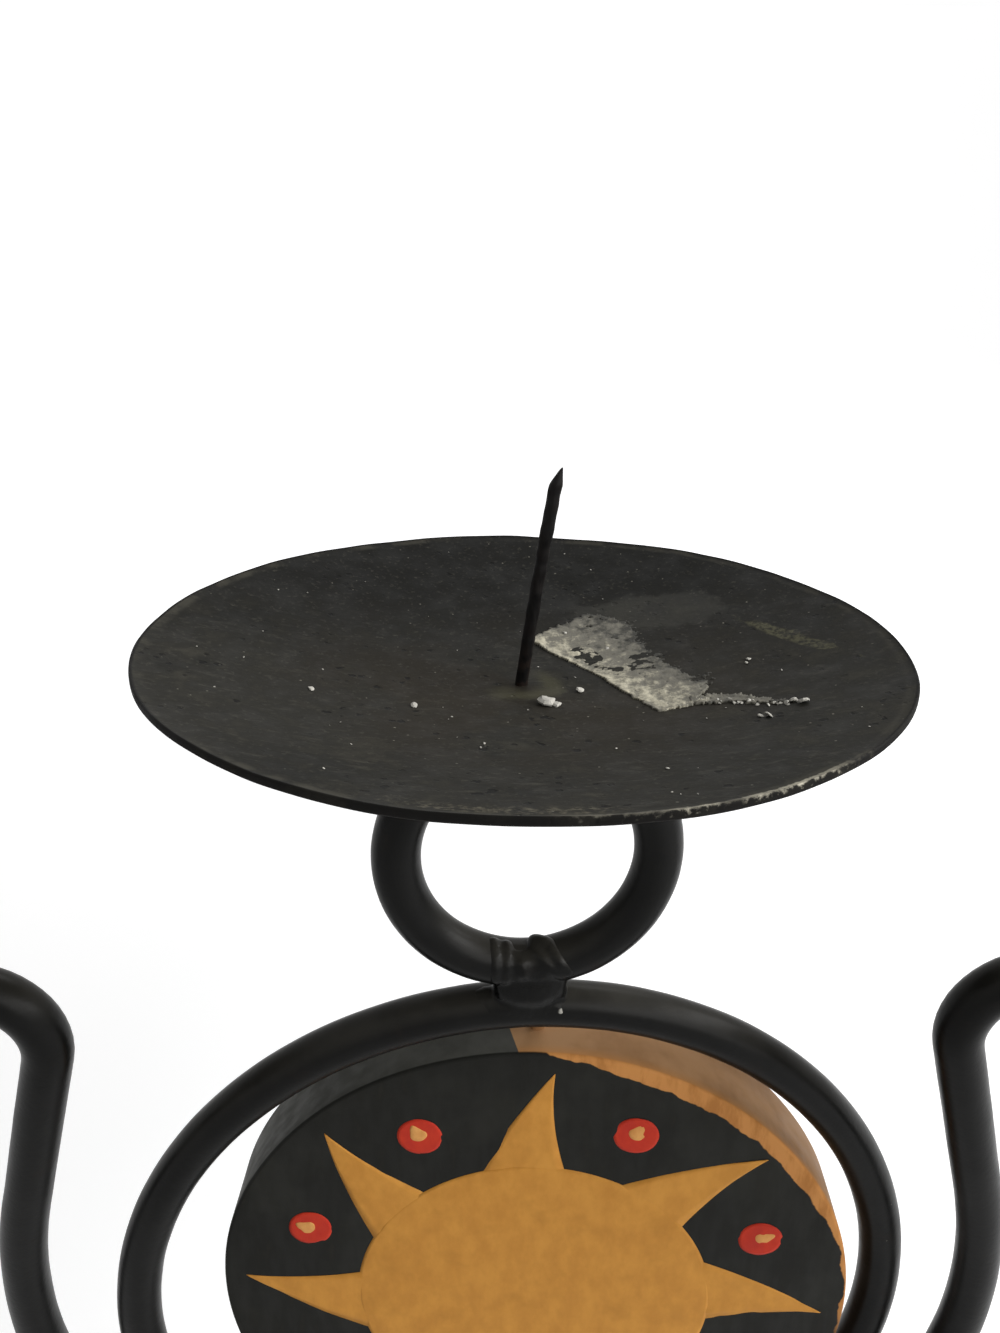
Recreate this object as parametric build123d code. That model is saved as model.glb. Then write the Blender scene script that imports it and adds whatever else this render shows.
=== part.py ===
from build123d import *
import os
from math import cos, radians, sin, sqrt

# Pricket candle stand: bent round bar, dished sheet plates, nails for spikes and a painted disc.
# Millimetres, +Z up, floor at zero, front towards -Y, the post on the Z axis.

# Stock
bar_d = 8.0
post_d = 10.0
sheet_t = 1.2
fit_up_gap = 0.2
overrun = 3.0

# Drip plates
plate_rim_r = 55.6
plate_depth = 8.5
plate_stand_off = 3.3
centre_plate_off_ring = -0.4
centre_plate_tip_deg = -1.2
centre_plate_roll_deg = 1.0

# Pricket nails
nail_d = 2.0
nail_rise = 33.3
nail_point_len = 5.0
nail_tip_w = 0.2
nail_head_d = 5.0
nail_head_t = 1.0
nail_head_drop = 0.6
nail_root_d = 1.6
nail_root_rise = 0.5
nail_hole_clearance = 0.4
centre_nail_lean_deg = 9.1
side_nail_lean_deg = 0.0

# Neck ring under the centre plate
neck_r = 21.2
neck_gap = 0.6
neck_off_ring = 1.1

# Big ring round the disc
ring_r = 72.4
ring_off_axis = 1.3

# Painted disc on its two pivot pins
disc_gap = 8.1
disc_t = 14.7
disc_edge_r = 0.6
disc_off_ring = 3.6
disc_lift = 2.4
disc_turn_deg = -5.8
pin_d = 3.0
pin_depth = 14.0
pin_end_gap = 0.3
pin_past_bar = 1.0
pin_running_clearance = 0.05

# Arm bar: a cradle under the ring, flanks that lean in, shoulders that turn out to the side plates
cradle_slack = 7.8
flank_r = 110.0
flank_leg = 35.4
flare_deg = 16.1
shoulder_r = 11.8
arm_reach = 150.0
arm_end_past = 6.0
arm_off_axis = -1.3
arm_lean_deg = 3.9
arm_turn_deg = -3.0

# Post and legs
post_rise = 25.0
leg_lap = 28.0
leg_bend_r = 34.0
leg_turn_deg = 62.0
leg_shin = 75.0
foot_bend_r = 30.0
foot_run = 6.0
foot_r = 9.0
foot_t = 3.0
foot_edge_r = 1.0
leg_azimuth_deg = 35.0

# Weld beads
puck_r = 7.0
puck_h = 4.4
neck_bead_w = 7.0
neck_bead_d = 5.2
neck_bead_h = 8.0
neck_bead_forward = 1.2
neck_lump_r = 3.0
neck_lump_h = 5.6
cradle_bead_w = 9.0
cradle_bead_d = 4.8
cradle_bead_h = 4.6
post_bead_r = 3.2
leg_bead_r = 5.0
pin_bead_r = 2.9
pin_bead_drop = 1.6

# Radii and heights that follow from the sizes above
bar_r = bar_d / 2
post_r = post_d / 2
nail_r = nail_d / 2
pin_r = pin_d / 2
leg_turn = radians(leg_turn_deg)
bend_drop = leg_bend_r * sin(leg_turn)
toe_drop = foot_bend_r * (1 - sin(leg_turn))
lap_bottom_z = bar_r + bend_drop + leg_shin * cos(leg_turn) + toe_drop
leg_top_z = lap_bottom_z + leg_lap
post_top_z = leg_top_z + post_rise
arm_z = post_top_z + fit_up_gap + bar_r
ring_off_arm = ring_off_axis - arm_off_axis
ring_room = cradle_slack - fit_up_gap
cradle_r = ring_r + bar_d + cradle_slack
disc_r = ring_r - bar_r - disc_gap
ring_z = arm_z + cradle_r - sqrt(ring_room**2 - ring_off_arm**2)
neck_z = ring_z + ring_r + bar_r + neck_gap + bar_r + neck_r
neck_top_z = neck_z + neck_r + bar_r
plate_floor_h = plate_stand_off + sheet_t
neck_x = ring_off_axis + neck_off_ring
plate_x = ring_off_axis + centre_plate_off_ring
pin_x = ring_off_axis + disc_off_ring
pin_y = bar_r + fit_up_gap + pin_r
disc_z = ring_z + disc_lift


def arc(centre, radius, start_deg, end_deg):
    """Arc about a point of the XZ plane, angles from +X towards +Z."""
    angles = (start_deg, (start_deg + end_deg) / 2, end_deg)
    points = [
        (centre[0] + radius * cos(radians(a)), 0, centre[1] + radius * sin(radians(a)))
        for a in angles
    ]
    return ThreePointArc(*points)


def run(start, end):
    """Straight edge between two points of the XZ plane."""
    return Line((start[0], 0, start[1]), (end[0], 0, end[1]))


def bent_bar(edges):
    """Round bar swept along joined edges."""
    path = Wire(edges)
    section = Plane(origin=path @ 0, z_dir=path % 0) * Circle(bar_r)
    return sweep(section, path=path)


def bar_ring(x, z, radius):
    """Closed upright ring of round bar, facing the front."""
    return Pos(x, 0, z) * (Rot(90, 0, 0) * Torus(radius, bar_r))


def bead(x, y, z, width, depth, height):
    """Rounded lump of weld metal, before the pieces that it joins are cut out of it."""
    lump = Rot(0, 90, 0) * Sphere(1)
    return Pos(x, y, z) * scale(lump, by=(width, depth, height))


def dish_height(radius):
    """Height of a plate's upper face at a radius, measured from its rim."""
    sphere_r = (plate_rim_r**2 + plate_depth**2) / (2 * plate_depth)
    return sphere_r - sqrt(sphere_r**2 - radius**2) - plate_depth


def drip_plate(seat, nail_axis):
    """Dished round plate with the nail's hole."""
    mid_r = plate_rim_r / 2
    upper = ThreePointArc((0, dish_height(0)), (mid_r, dish_height(mid_r)), (plate_rim_r, 0))
    lower = ThreePointArc(
        (plate_rim_r, -sheet_t), (mid_r, dish_height(mid_r) - sheet_t), (0, dish_height(0) - sheet_t)
    )
    edge = Line((plate_rim_r, 0), (plate_rim_r, -sheet_t))
    middle = Line((0, dish_height(0) - sheet_t), (0, dish_height(0)))
    profile = Plane.XZ * make_face([upper, edge, lower, middle])
    dish = seat * (Pos(0, 0, plate_depth) * revolve(profile, Axis.Z))
    hole = nail_axis * Cylinder(nail_r + nail_hole_clearance, 2 * (sheet_t + overrun))
    return dish - hole


def pricket_nail(nail_axis):
    """Nail with its head and a thinner root in the plate, a round shank and a four-sided point above it."""
    shank_top = nail_rise - nail_point_len
    root_drop = sheet_t + nail_head_drop
    bottom = (Align.CENTER, Align.CENTER, Align.MIN)
    shank = Pos(0, 0, nail_root_rise) * Cylinder(nail_r, shank_top - nail_root_rise, align=bottom)
    root = Pos(0, 0, -root_drop) * Cylinder(nail_root_d / 2, root_drop + nail_root_rise, align=bottom)
    tip = loft(
        [
            Pos(0, 0, shank_top) * Circle(nail_r),
            Pos(0, 0, nail_rise) * Rectangle(nail_tip_w, nail_tip_w),
        ]
    )
    head = Pos(0, 0, -root_drop - nail_head_t) * Cylinder(nail_head_d / 2, nail_head_t, align=bottom)
    return nail_axis * (shank + root + tip + head)


def plate_weld(bar_top):
    """Puck of weld metal between a bar's top and the plate above it."""
    middle_z = bar_top.Z + plate_stand_off + sheet_t / 2 - puck_h
    return bead(bar_top.X, bar_top.Y, middle_z, puck_r, puck_r, puck_h)


def leg(azimuth_deg):
    """Bent leg: lapped along the post, swept out to the floor, ending in a flattened round foot."""
    x0 = post_r + fit_up_gap + bar_r
    out, down = sin(leg_turn), cos(leg_turn)
    bend = (x0 + leg_bend_r, lap_bottom_z)
    knee = (bend[0] - leg_bend_r * down, bend[1] - leg_bend_r * out)
    ankle = (knee[0] + leg_shin * out, knee[1] - leg_shin * down)
    toe_bend = (ankle[0] + foot_bend_r * down, ankle[1] + foot_bend_r * out)
    heel = (toe_bend[0], toe_bend[1] - foot_bend_r)
    toe = (heel[0] + foot_run, heel[1])
    edges = [
        run((x0, leg_top_z), (x0, lap_bottom_z)),
        arc(bend, leg_bend_r, 180, 180 + leg_turn_deg),
        run(knee, ankle),
        arc(toe_bend, foot_bend_r, 180 + leg_turn_deg, 270),
        run(heel, toe),
    ]
    foot = Pos(toe[0], 0, 0) * Cylinder(foot_r, foot_t, align=(Align.CENTER, Align.CENTER, Align.MIN))
    foot = fillet(foot.edges().group_by(Axis.Z)[-1], foot_edge_r)
    return Rot(0, 0, azimuth_deg) * (bent_bar(edges) + foot)


def arm_edges():
    """Edges of the arm bar in its own plane, from the left end to the right, bottom at zero."""
    a = radians(flare_deg)
    flank = (cradle_r - flank_r, cradle_r)
    flank_top = (flank[0] + flank_r * cos(a), flank[1] + flank_r * sin(a))
    leg_top = (flank_top[0] - flank_leg * sin(a), flank_top[1] + flank_leg * cos(a))
    shoulder = (leg_top[0] + shoulder_r * cos(a), leg_top[1] + shoulder_r * sin(a))
    run_start = (shoulder[0], shoulder[1] + shoulder_r)
    run_end = (arm_reach + arm_end_past, run_start[1])
    left = [(-x, z) for x, z in (run_end, run_start, leg_top, flank_top)]
    edges = [
        run(left[0], left[1]),
        arc((-shoulder[0], shoulder[1]), shoulder_r, 90, -flare_deg),
        run(left[2], left[3]),
        arc((-flank[0], flank[1]), flank_r, 180 - flare_deg, 180),
        arc((0, cradle_r), cradle_r, 180, 360),
        arc(flank, flank_r, 0, flare_deg),
        run(flank_top, leg_top),
        arc(shoulder, shoulder_r, 180 + flare_deg, 90),
        run(run_start, run_end),
    ]
    return edges, run_start[1]


def pivot_pin(direction):
    """Upright pin behind the ring's bar, its inner end in the disc: direction is 1 above, -1 below."""
    bar_z = ring_z + direction * sqrt(ring_r**2 - disc_off_ring**2)
    outer_z = bar_z + direction * pin_past_bar
    inner_z = disc_z + direction * (disc_r - pin_depth + pin_end_gap)
    middle_z = (outer_z + inner_z) / 2
    return Pos(pin_x, pin_y, middle_z) * Cylinder(pin_r, abs(outer_z - inner_z)), bar_z


def sun_disc():
    """Round disc with two blind pivot holes in its rim, turned a little on its pins."""
    disc = Rot(90, 0, 0) * Cylinder(disc_r, disc_t)
    disc = fillet(disc.edges().filter_by(GeomType.CIRCLE), disc_edge_r)
    hole_len = pin_depth + overrun
    hole = Cylinder(pin_r + pin_running_clearance, hole_len)
    for direction in (1, -1):
        disc -= Pos(0, 0, direction * (disc_r - pin_depth + hole_len / 2)) * hole
    return Pos(pin_x, pin_y, disc_z) * (Rot(0, 0, disc_turn_deg) * disc)


nodes = {}

# Post, legs and the bead where they meet
post_len = post_top_z - lap_bottom_z
nodes["post"] = Pos(0, 0, lap_bottom_z + post_len / 2) * Cylinder(post_r, post_len)
leg_places = {
    "front_left_leg": 180 + leg_azimuth_deg,
    "front_right_leg": -leg_azimuth_deg,
    "rear_left_leg": 180 - leg_azimuth_deg,
    "rear_right_leg": leg_azimuth_deg,
}
for name, azimuth_deg in leg_places.items():
    nodes[name] = leg(azimuth_deg)
leg_weld = Pos(0, 0, leg_top_z) * Torus(post_r + bar_r, leg_bead_r)
leg_weld -= nodes["post"]
for name in leg_places:
    leg_weld -= nodes[name]
nodes["leg_weld"] = leg_weld

# Arm bar, standing on the post
arm_path, run_z = arm_edges()
arm_place = Pos(arm_off_axis, 0, arm_z) * Rot(0, 0, arm_turn_deg) * Rot(arm_lean_deg, 0, 0)
nodes["arm_bar"] = arm_place * bent_bar(arm_path)
nodes["post_weld"] = (
    Pos(0, 0, post_top_z) * Torus(post_r, post_bead_r) - nodes["post"] - nodes["arm_bar"]
)

# Big ring in the cradle, neck ring on top of it
nodes["disc_ring"] = bar_ring(ring_off_axis, ring_z, ring_r)
nodes["neck_ring"] = bar_ring(neck_x, neck_z, neck_r)

# Disc on its pins, each pin one with the bead that holds it to the ring
nodes["sun_disc"] = sun_disc()
for name, direction in (("upper", 1), ("lower", -1)):
    pin, bar_z = pivot_pin(direction)
    bead_z = bar_z - direction * pin_bead_drop
    pin_bead = Pos(pin_x, bar_r + fit_up_gap, bead_z) * (Rot(0, 90, 0) * Sphere(pin_bead_r))
    nodes[name + "_pivot_pin"] = pin + pin_bead - nodes["disc_ring"]

# Beads that join the rings and the arm bar
cradle_weld = bead(0, 0, arm_z + bar_r, cradle_bead_w, cradle_bead_d, cradle_bead_h)
nodes["cradle_weld"] = cradle_weld - nodes["arm_bar"] - nodes["disc_ring"]
neck_seat_z = ring_z + ring_r + bar_r
neck_weld = bead(neck_x, -neck_bead_forward, neck_seat_z, neck_bead_w, neck_bead_d, neck_bead_h)
for side in (-1, 1):
    lump_x = neck_x + side * (neck_bead_w - neck_lump_r / 2)
    lump_y = -bar_r + neck_lump_r / 2
    neck_weld += bead(lump_x, lump_y, neck_seat_z + bar_r, neck_lump_r, neck_lump_r, neck_lump_h)
nodes["neck_weld"] = neck_weld - nodes["neck_ring"] - nodes["disc_ring"]

# Three plates, each with its nail and the puck of weld under it
centre_seat = Vector(plate_x, 0, neck_top_z)
left_seat = (arm_place * Pos(-arm_reach, 0, run_z)).position + Vector(0, 0, bar_r)
right_seat = (arm_place * Pos(arm_reach, 0, run_z)).position + Vector(0, 0, bar_r)
seats = {
    "centre": (centre_seat, centre_plate_tip_deg, centre_plate_roll_deg, centre_nail_lean_deg, "neck_ring"),
    "left": (left_seat, 0, 0, side_nail_lean_deg, "arm_bar"),
    "right": (right_seat, 0, 0, side_nail_lean_deg, "arm_bar"),
}
for name, (bar_top, tip_deg, roll_deg, lean_deg, carrier) in seats.items():
    place = Location(bar_top + Vector(0, 0, plate_floor_h))
    nail_axis = place * Rot(0, lean_deg, 0)
    plate = drip_plate(place * Rot(tip_deg, roll_deg, 0), nail_axis)
    nail = pricket_nail(nail_axis)
    nodes[name + "_drip_plate"] = plate
    nodes[name + "_pricket_nail"] = nail
    nodes[name + "_plate_weld"] = plate_weld(bar_top) - plate - nail - nodes[carrier]

os.makedirs("parts", exist_ok=True)
for name, shape in nodes.items():
    export_step(shape, f"parts/{name}.step")
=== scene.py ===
"""Dressed model of a black iron pricket candle stand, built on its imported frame."""

import logging
import math
import random
from dataclasses import dataclass, field, replace
from enum import Enum
from functools import cached_property, partial, reduce
from typing import ClassVar, NamedTuple, Optional, Sequence, Union

import bmesh
import bpy
from mathutils import Matrix, Vector, noise


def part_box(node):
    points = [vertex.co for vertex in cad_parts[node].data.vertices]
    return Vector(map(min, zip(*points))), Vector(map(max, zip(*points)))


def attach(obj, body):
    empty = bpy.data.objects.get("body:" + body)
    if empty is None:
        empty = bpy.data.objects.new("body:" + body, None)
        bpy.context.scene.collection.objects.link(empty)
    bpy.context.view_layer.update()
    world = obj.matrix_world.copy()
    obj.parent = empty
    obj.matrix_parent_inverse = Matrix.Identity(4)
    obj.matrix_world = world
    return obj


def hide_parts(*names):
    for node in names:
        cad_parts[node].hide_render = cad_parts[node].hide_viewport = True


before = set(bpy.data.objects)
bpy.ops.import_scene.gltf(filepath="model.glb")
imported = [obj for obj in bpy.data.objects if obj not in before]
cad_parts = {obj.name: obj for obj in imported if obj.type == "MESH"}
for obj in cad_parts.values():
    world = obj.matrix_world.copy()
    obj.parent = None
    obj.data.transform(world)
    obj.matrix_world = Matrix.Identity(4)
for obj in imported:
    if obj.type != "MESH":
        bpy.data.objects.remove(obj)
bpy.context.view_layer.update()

LOG = logging.getLogger("candle_stand")
MM = 0.001
Colour = tuple[float, float, float, float]
Flat = tuple[float, float]
Point = tuple[float, float, float]
Mesh = bpy.types.Mesh
Node = bpy.types.Node
Socket = bpy.types.NodeSocket
Feed = Union[Socket, float, Sequence[float], str]


class Body(Enum):
    """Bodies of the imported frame."""

    STAND = "stand"
    DISC = "disc"


class Slot(Enum):
    """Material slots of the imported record."""

    BAR = "black_bar"
    PLATE = "plate_iron"
    NAIL = "nail_iron"
    WELD = "weld_bead"
    DISC = "painted_disc"


class Place(Enum):
    """Where a drip plate stands."""

    CENTRE = "centre"
    LEFT = "left"
    RIGHT = "right"


def srgb(red: int, green: int, blue: int) -> Colour:
    """Turns a colour as a screen shows it into the one that Blender reckons with.

    Args:
        red: Red, 0 to 255.
        green: Green, 0 to 255.
        blue: Blue, 0 to 255.

    Returns:
        The linear colour with full alpha.
    """
    shares = (red / 255, green / 255, blue / 255)
    lin = [c / 12.92 if c <= 0.04045 else ((c + 0.055) / 1.055) ** 2.4 for c in shares]
    return (lin[0], lin[1], lin[2], 1.0)


class Wiring:
    """Lays nodes into one tree and joins them up."""

    def __init__(self, tree: bpy.types.NodeTree) -> None:
        """Keeps the tree that the nodes go into."""
        self.tree = tree

    def put(self, kind: str, feeds: Optional[dict[Union[str, int], Feed]] = None, **settings: object) -> Node:
        """Adds one node.

        Args:
            kind: Blender's name of the node type.
            feeds: What goes into its inputs, by name or number: a socket or a value.
            **settings: Properties of the node itself, set before its inputs.

        Returns:
            The new node.
        """
        node = self.tree.nodes.new(kind)
        for name, value in settings.items():
            setattr(node, name, value)
        for key, value in (feeds or {}).items():
            if isinstance(value, Socket):
                self.tree.links.new(value, node.inputs[key])
            else:
                node.inputs[key].default_value = value
        return node

    def sum(self, operation: str, first: Feed, second: Feed = 0.0) -> Socket:
        """Adds one Math node and gives its result."""
        return self.put("ShaderNodeMath", {0: first, 1: second}, operation=operation).outputs[0]

    def times(self, first: Feed, *others: Feed) -> Feed:
        """Multiplies numbers or sockets, one after the other."""
        return reduce(partial(self.sum, "MULTIPLY"), others, first)

    def plus(self, first: Feed, *others: Feed) -> Feed:
        """Adds numbers or sockets, one after the other."""
        return reduce(partial(self.sum, "ADD"), others, first)

    def less(self, first: Feed, second: Feed) -> Socket:
        """Takes one number or socket from another."""
        return self.sum("SUBTRACT", first, second)

    def push(self, swirl: Socket, far: Feed) -> Socket:
        """Turns a coloured noise into pushes to all sides, of a given length."""
        middle = self.vector("SUBTRACT", {0: swirl, 1: (0.5, 0.5, 0.5)})
        return self.vector("SCALE", {0: middle, "Scale": far})

    def vector(self, operation: str, feeds: dict[Union[str, int], Feed]) -> Socket:
        """Adds one Vector Math node and gives its first result."""
        return self.put("ShaderNodeVectorMath", feeds, operation=operation).outputs[0]

    def named(self, name: str, kind: str = "FLOAT") -> Socket:
        """Reads one attribute of a mesh by its name."""
        return self.put("GeometryNodeInputNamedAttribute", {"Name": name}, data_type=kind).outputs[0]


class PaintBench(Wiring):
    """Wiring with the steps that a painter of surfaces needs, in millimetres."""

    def spot(self, centre: Sequence[float], turn: Sequence[float] = (0.0, 0.0, 0.0)) -> Socket:
        """Object coordinates in millimetres about a point in metres, turned about the axes by radians."""
        place = {"Location": tuple(centre), "Rotation": tuple(turn), "Scale": (MM, MM, MM)}
        return self.mapped(self.put("ShaderNodeTexCoord").outputs["Object"], "TEXTURE", place)

    def stretched(self, at: Socket, scale: Point, turn: float = 0.0) -> Socket:
        """Coordinates pulled long for streaks by a factor for each axis, turned about the upright one."""
        return self.mapped(at, "POINT", {"Rotation": (0, 0, turn), "Scale": scale})

    def mapped(self, at: Socket, kind: str, place: dict[str, Feed]) -> Socket:
        """Coordinates moved, turned or scaled by one Mapping node."""
        return self.put("ShaderNodeMapping", {"Vector": at, **place}, vector_type=kind).outputs[0]

    def grain(
        self, at: Socket, size: float, detail: float = 3.0, rough: float = 0.55, seed: float = 0.0
    ) -> Socket:
        """Cloudy noise about 0.5, by cloud size in millimetres, finer layers, their share, and a seed."""
        feeds = {"Vector": at, "W": seed, "Scale": 1 / size, "Detail": detail, "Roughness": rough}
        return self.put("ShaderNodeTexNoise", feeds, noise_dimensions="4D").outputs[0]

    def stirred(self, at: Socket, size: float, far: float) -> Socket:
        """Coordinates pushed about by swirls of a size, so that what is drawn on them gets ragged edges."""
        swirl = self.put("ShaderNodeTexNoise", {"Vector": at, "Scale": 1 / size, "Detail": 3.0})
        return self.vector("ADD", {0: at, 1: self.push(swirl.outputs["Color"], 2 * far)})

    def rise(self, value: Feed, low: float, high: float, to: Flat = (0.0, 1.0)) -> Socket:
        """Smooth step between two levels, with what it gives before and after."""
        feeds = {0: value, 1: low, 2: high, 3: to[0], 4: to[1]}
        return self.put("ShaderNodeMapRange", feeds, interpolation_type="SMOOTHSTEP").outputs[0]

    def fall(self, value: Feed, low: float, high: float) -> Socket:
        """Smooth step from 1 down to 0."""
        return self.rise(value, low, high, (1.0, 0.0))

    def between(self, value: Feed, start: Flat, end: Flat) -> Socket:
        """1 between a step up and a step down, 0 outside them."""
        return self.times(self.rise(value, *start), self.fall(value, *end))

    def offset(self, cloud: Socket, far: float) -> Socket:
        """Noise about 0.5 turned into an offset about nought."""
        return self.times(self.less(cloud, 0.5), far)

    def coat(self, under: Feed, over: Feed, *shares: Feed) -> Socket:
        """Lays one colour over another, as much of it as the product of the shares."""
        feeds = {0: self.times(*shares), 6: under, 7: over}
        return self.put("ShaderNodeMix", feeds, data_type="RGBA", clamp_factor=True).outputs[2]

    def spots(self, at: Socket, pitch: float, radius: float, chance: float) -> Socket:
        """Scattered round spots.

        Args:
            at: Coordinates in millimetres.
            pitch: Mean distance between places for a spot, in millimetres.
            radius: Radius of a spot as a share of the pitch.
            chance: Share of the places that get one.

        Returns:
            1 inside a spot, 0 outside.
        """
        cells = self.put("ShaderNodeTexVoronoi", {"Vector": at, "Scale": 1 / pitch})
        inside = self.fall(cells.outputs["Distance"], radius * 0.6, radius)
        pick = self.put("ShaderNodeSeparateColor", {0: cells.outputs["Color"]}).outputs[0]
        return self.times(inside, self.sum("LESS_THAN", pick, chance))

    def axes(self, at: Socket) -> tuple[Socket, Socket, Socket]:
        """Splits coordinates into x, y and z."""
        return tuple(self.put("ShaderNodeSeparateXYZ", {0: at}).outputs)

    def far(self, first: Feed, second: Feed) -> Socket:
        """Length of a vector with two parts."""
        return self.sum("SQRT", self.plus(self.sum("POWER", first, 2.0), self.sum("POWER", second, 2.0)))

    def relief(self, height: Feed, depth: float) -> Socket:
        """Bump from a height of 0 to 1, with what 1 means in millimetres."""
        feeds = {"Height": height, "Distance": depth * MM, "Strength": 1.0}
        return self.put("ShaderNodeBump", feeds).outputs[0]

    def seen(self) -> Socket:
        """Tells what is looked at from what is only lit.

        Returns:
            1 for what the camera sees, also in shiny or clear things, and 0 for plain light.
        """
        path = self.put("ShaderNodeLightPath").outputs
        rays = [path[f"Is {kind} Ray"] for kind in ("Camera", "Glossy", "Transmission")]
        return reduce(partial(self.sum, "MAXIMUM"), rays)


@dataclass(frozen=True)
class Finish:
    """A surface finish, made into a material once and then shared."""

    name: str
    gloss: ClassVar[float] = 0.12

    def material(self) -> bpy.types.Material:
        """Gives the finish's material, and makes it on first use.

        Returns:
            The material.
        """
        found = bpy.data.materials.get(self.name)
        if found is None:
            found = bpy.data.materials.new(self.name)
            found.use_nodes = True
            self.paint(PaintBench(found.node_tree), found.node_tree.nodes["Principled BSDF"])
        return found

    def paint(self, bench: PaintBench, shader: Node) -> None:
        """Wires the finish into its shader; each kind of finish has its own."""
        raise NotImplementedError(self.name)

    def join(self, bench: PaintBench, shader: Node, tone: Socket, rough: Socket, normal: Socket) -> None:
        """Joins a finish to its shader.

        Args:
            bench: The material's wiring.
            shader: The shader.
            tone: Colour.
            rough: Roughness.
            normal: Bump.
        """
        for name, socket in (("Base Color", tone), ("Roughness", rough), ("Normal", normal)):
            bench.tree.links.new(socket, shader.inputs[name])
        shader.inputs["Specular IOR Level"].default_value = self.gloss


@dataclass(frozen=True)
class BarPaint(Finish):
    """Satin black paint on bar or weld metal, rubbed thin, lighter on top from dust and a painted sheen, and
    a little rusty.
    """

    dark: Colour = srgb(6, 6, 5)
    light: Colour = srgb(14, 14, 13)
    rust: Colour = srgb(27, 20, 15)
    dust_and_sheen: Colour = srgb(58, 56, 51)
    fleck: Colour = srgb(70, 68, 63)
    bare: Colour = srgb(158, 156, 148)
    daub: Colour = srgb(160, 119, 80)
    rough: Flat = (0.3, 0.42)
    lumps: float = 0.05
    rust_share: float = 0.4
    chip: Optional[Point] = None
    daubed: Optional[float] = None
    gloss: ClassVar[float] = 0.085

    def paint(self, bench: PaintBench, shader: Node) -> None:
        """Wires cloudy black, rust, dust with a painted sheen on top, fine brushed bumps, a chip and a daub
        of the disc's paint.

        Args:
            bench: The material's wiring.
            shader: The shader.
        """
        at = bench.spot(Vector())
        broad = bench.grain(at, 13.0, 3.0)
        fine = bench.grain(at, 1.1, 4.0, 0.6, 2.0)
        grit = bench.grain(at, 0.35, 2.0, 0.5, 5.0)
        rusty = bench.rise(bench.grain(at, 8.0, 6.0, 0.65, 9.0), 0.56, 0.74)
        tone = bench.coat(self.dark, self.light, bench.rise(broad, 0.3, 0.7))
        tone = bench.coat(tone, self.rust, rusty, self.rust_share)
        tone = bench.coat(tone, self.fleck, bench.spots(bench.stirred(at, 0.6, 0.2), 3.6, 0.07, 0.08))
        # Painted sheen, partly dust: faces that point up are lightened towards a grey.
        up = bench.axes(bench.put("ShaderNodeTexCoord").outputs["Normal"])[2]
        sheen_and_dust_share = bench.rise(broad, 0.3, 0.7, (0.35, 0.65))
        tone = bench.coat(tone, self.dust_and_sheen, bench.rise(up, 0.2, 0.95), sheen_and_dust_share)
        if self.chip is not None:
            feeds = {0: bench.stirred(at, 0.8, 0.35), 1: self.chip}
            near = bench.put("ShaderNodeVectorMath", feeds, operation="DISTANCE").outputs["Value"]
            tone = bench.coat(tone, self.bare, bench.fall(near, 0.35, 0.7))
        if self.daubed is not None:
            high = bench.plus(bench.axes(at)[2], fine)
            tone = bench.coat(tone, self.daub, bench.fall(high, self.daubed, self.daubed + 0.6))
        rough = bench.rise(bench.plus(broad, bench.times(rusty, 0.35)), 0.3, 0.8, self.rough)
        height = bench.plus(bench.times(fine, 0.8), bench.times(grit, 0.2))
        self.join(bench, shader, tone, rough, bench.relief(height, self.lumps))


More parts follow.
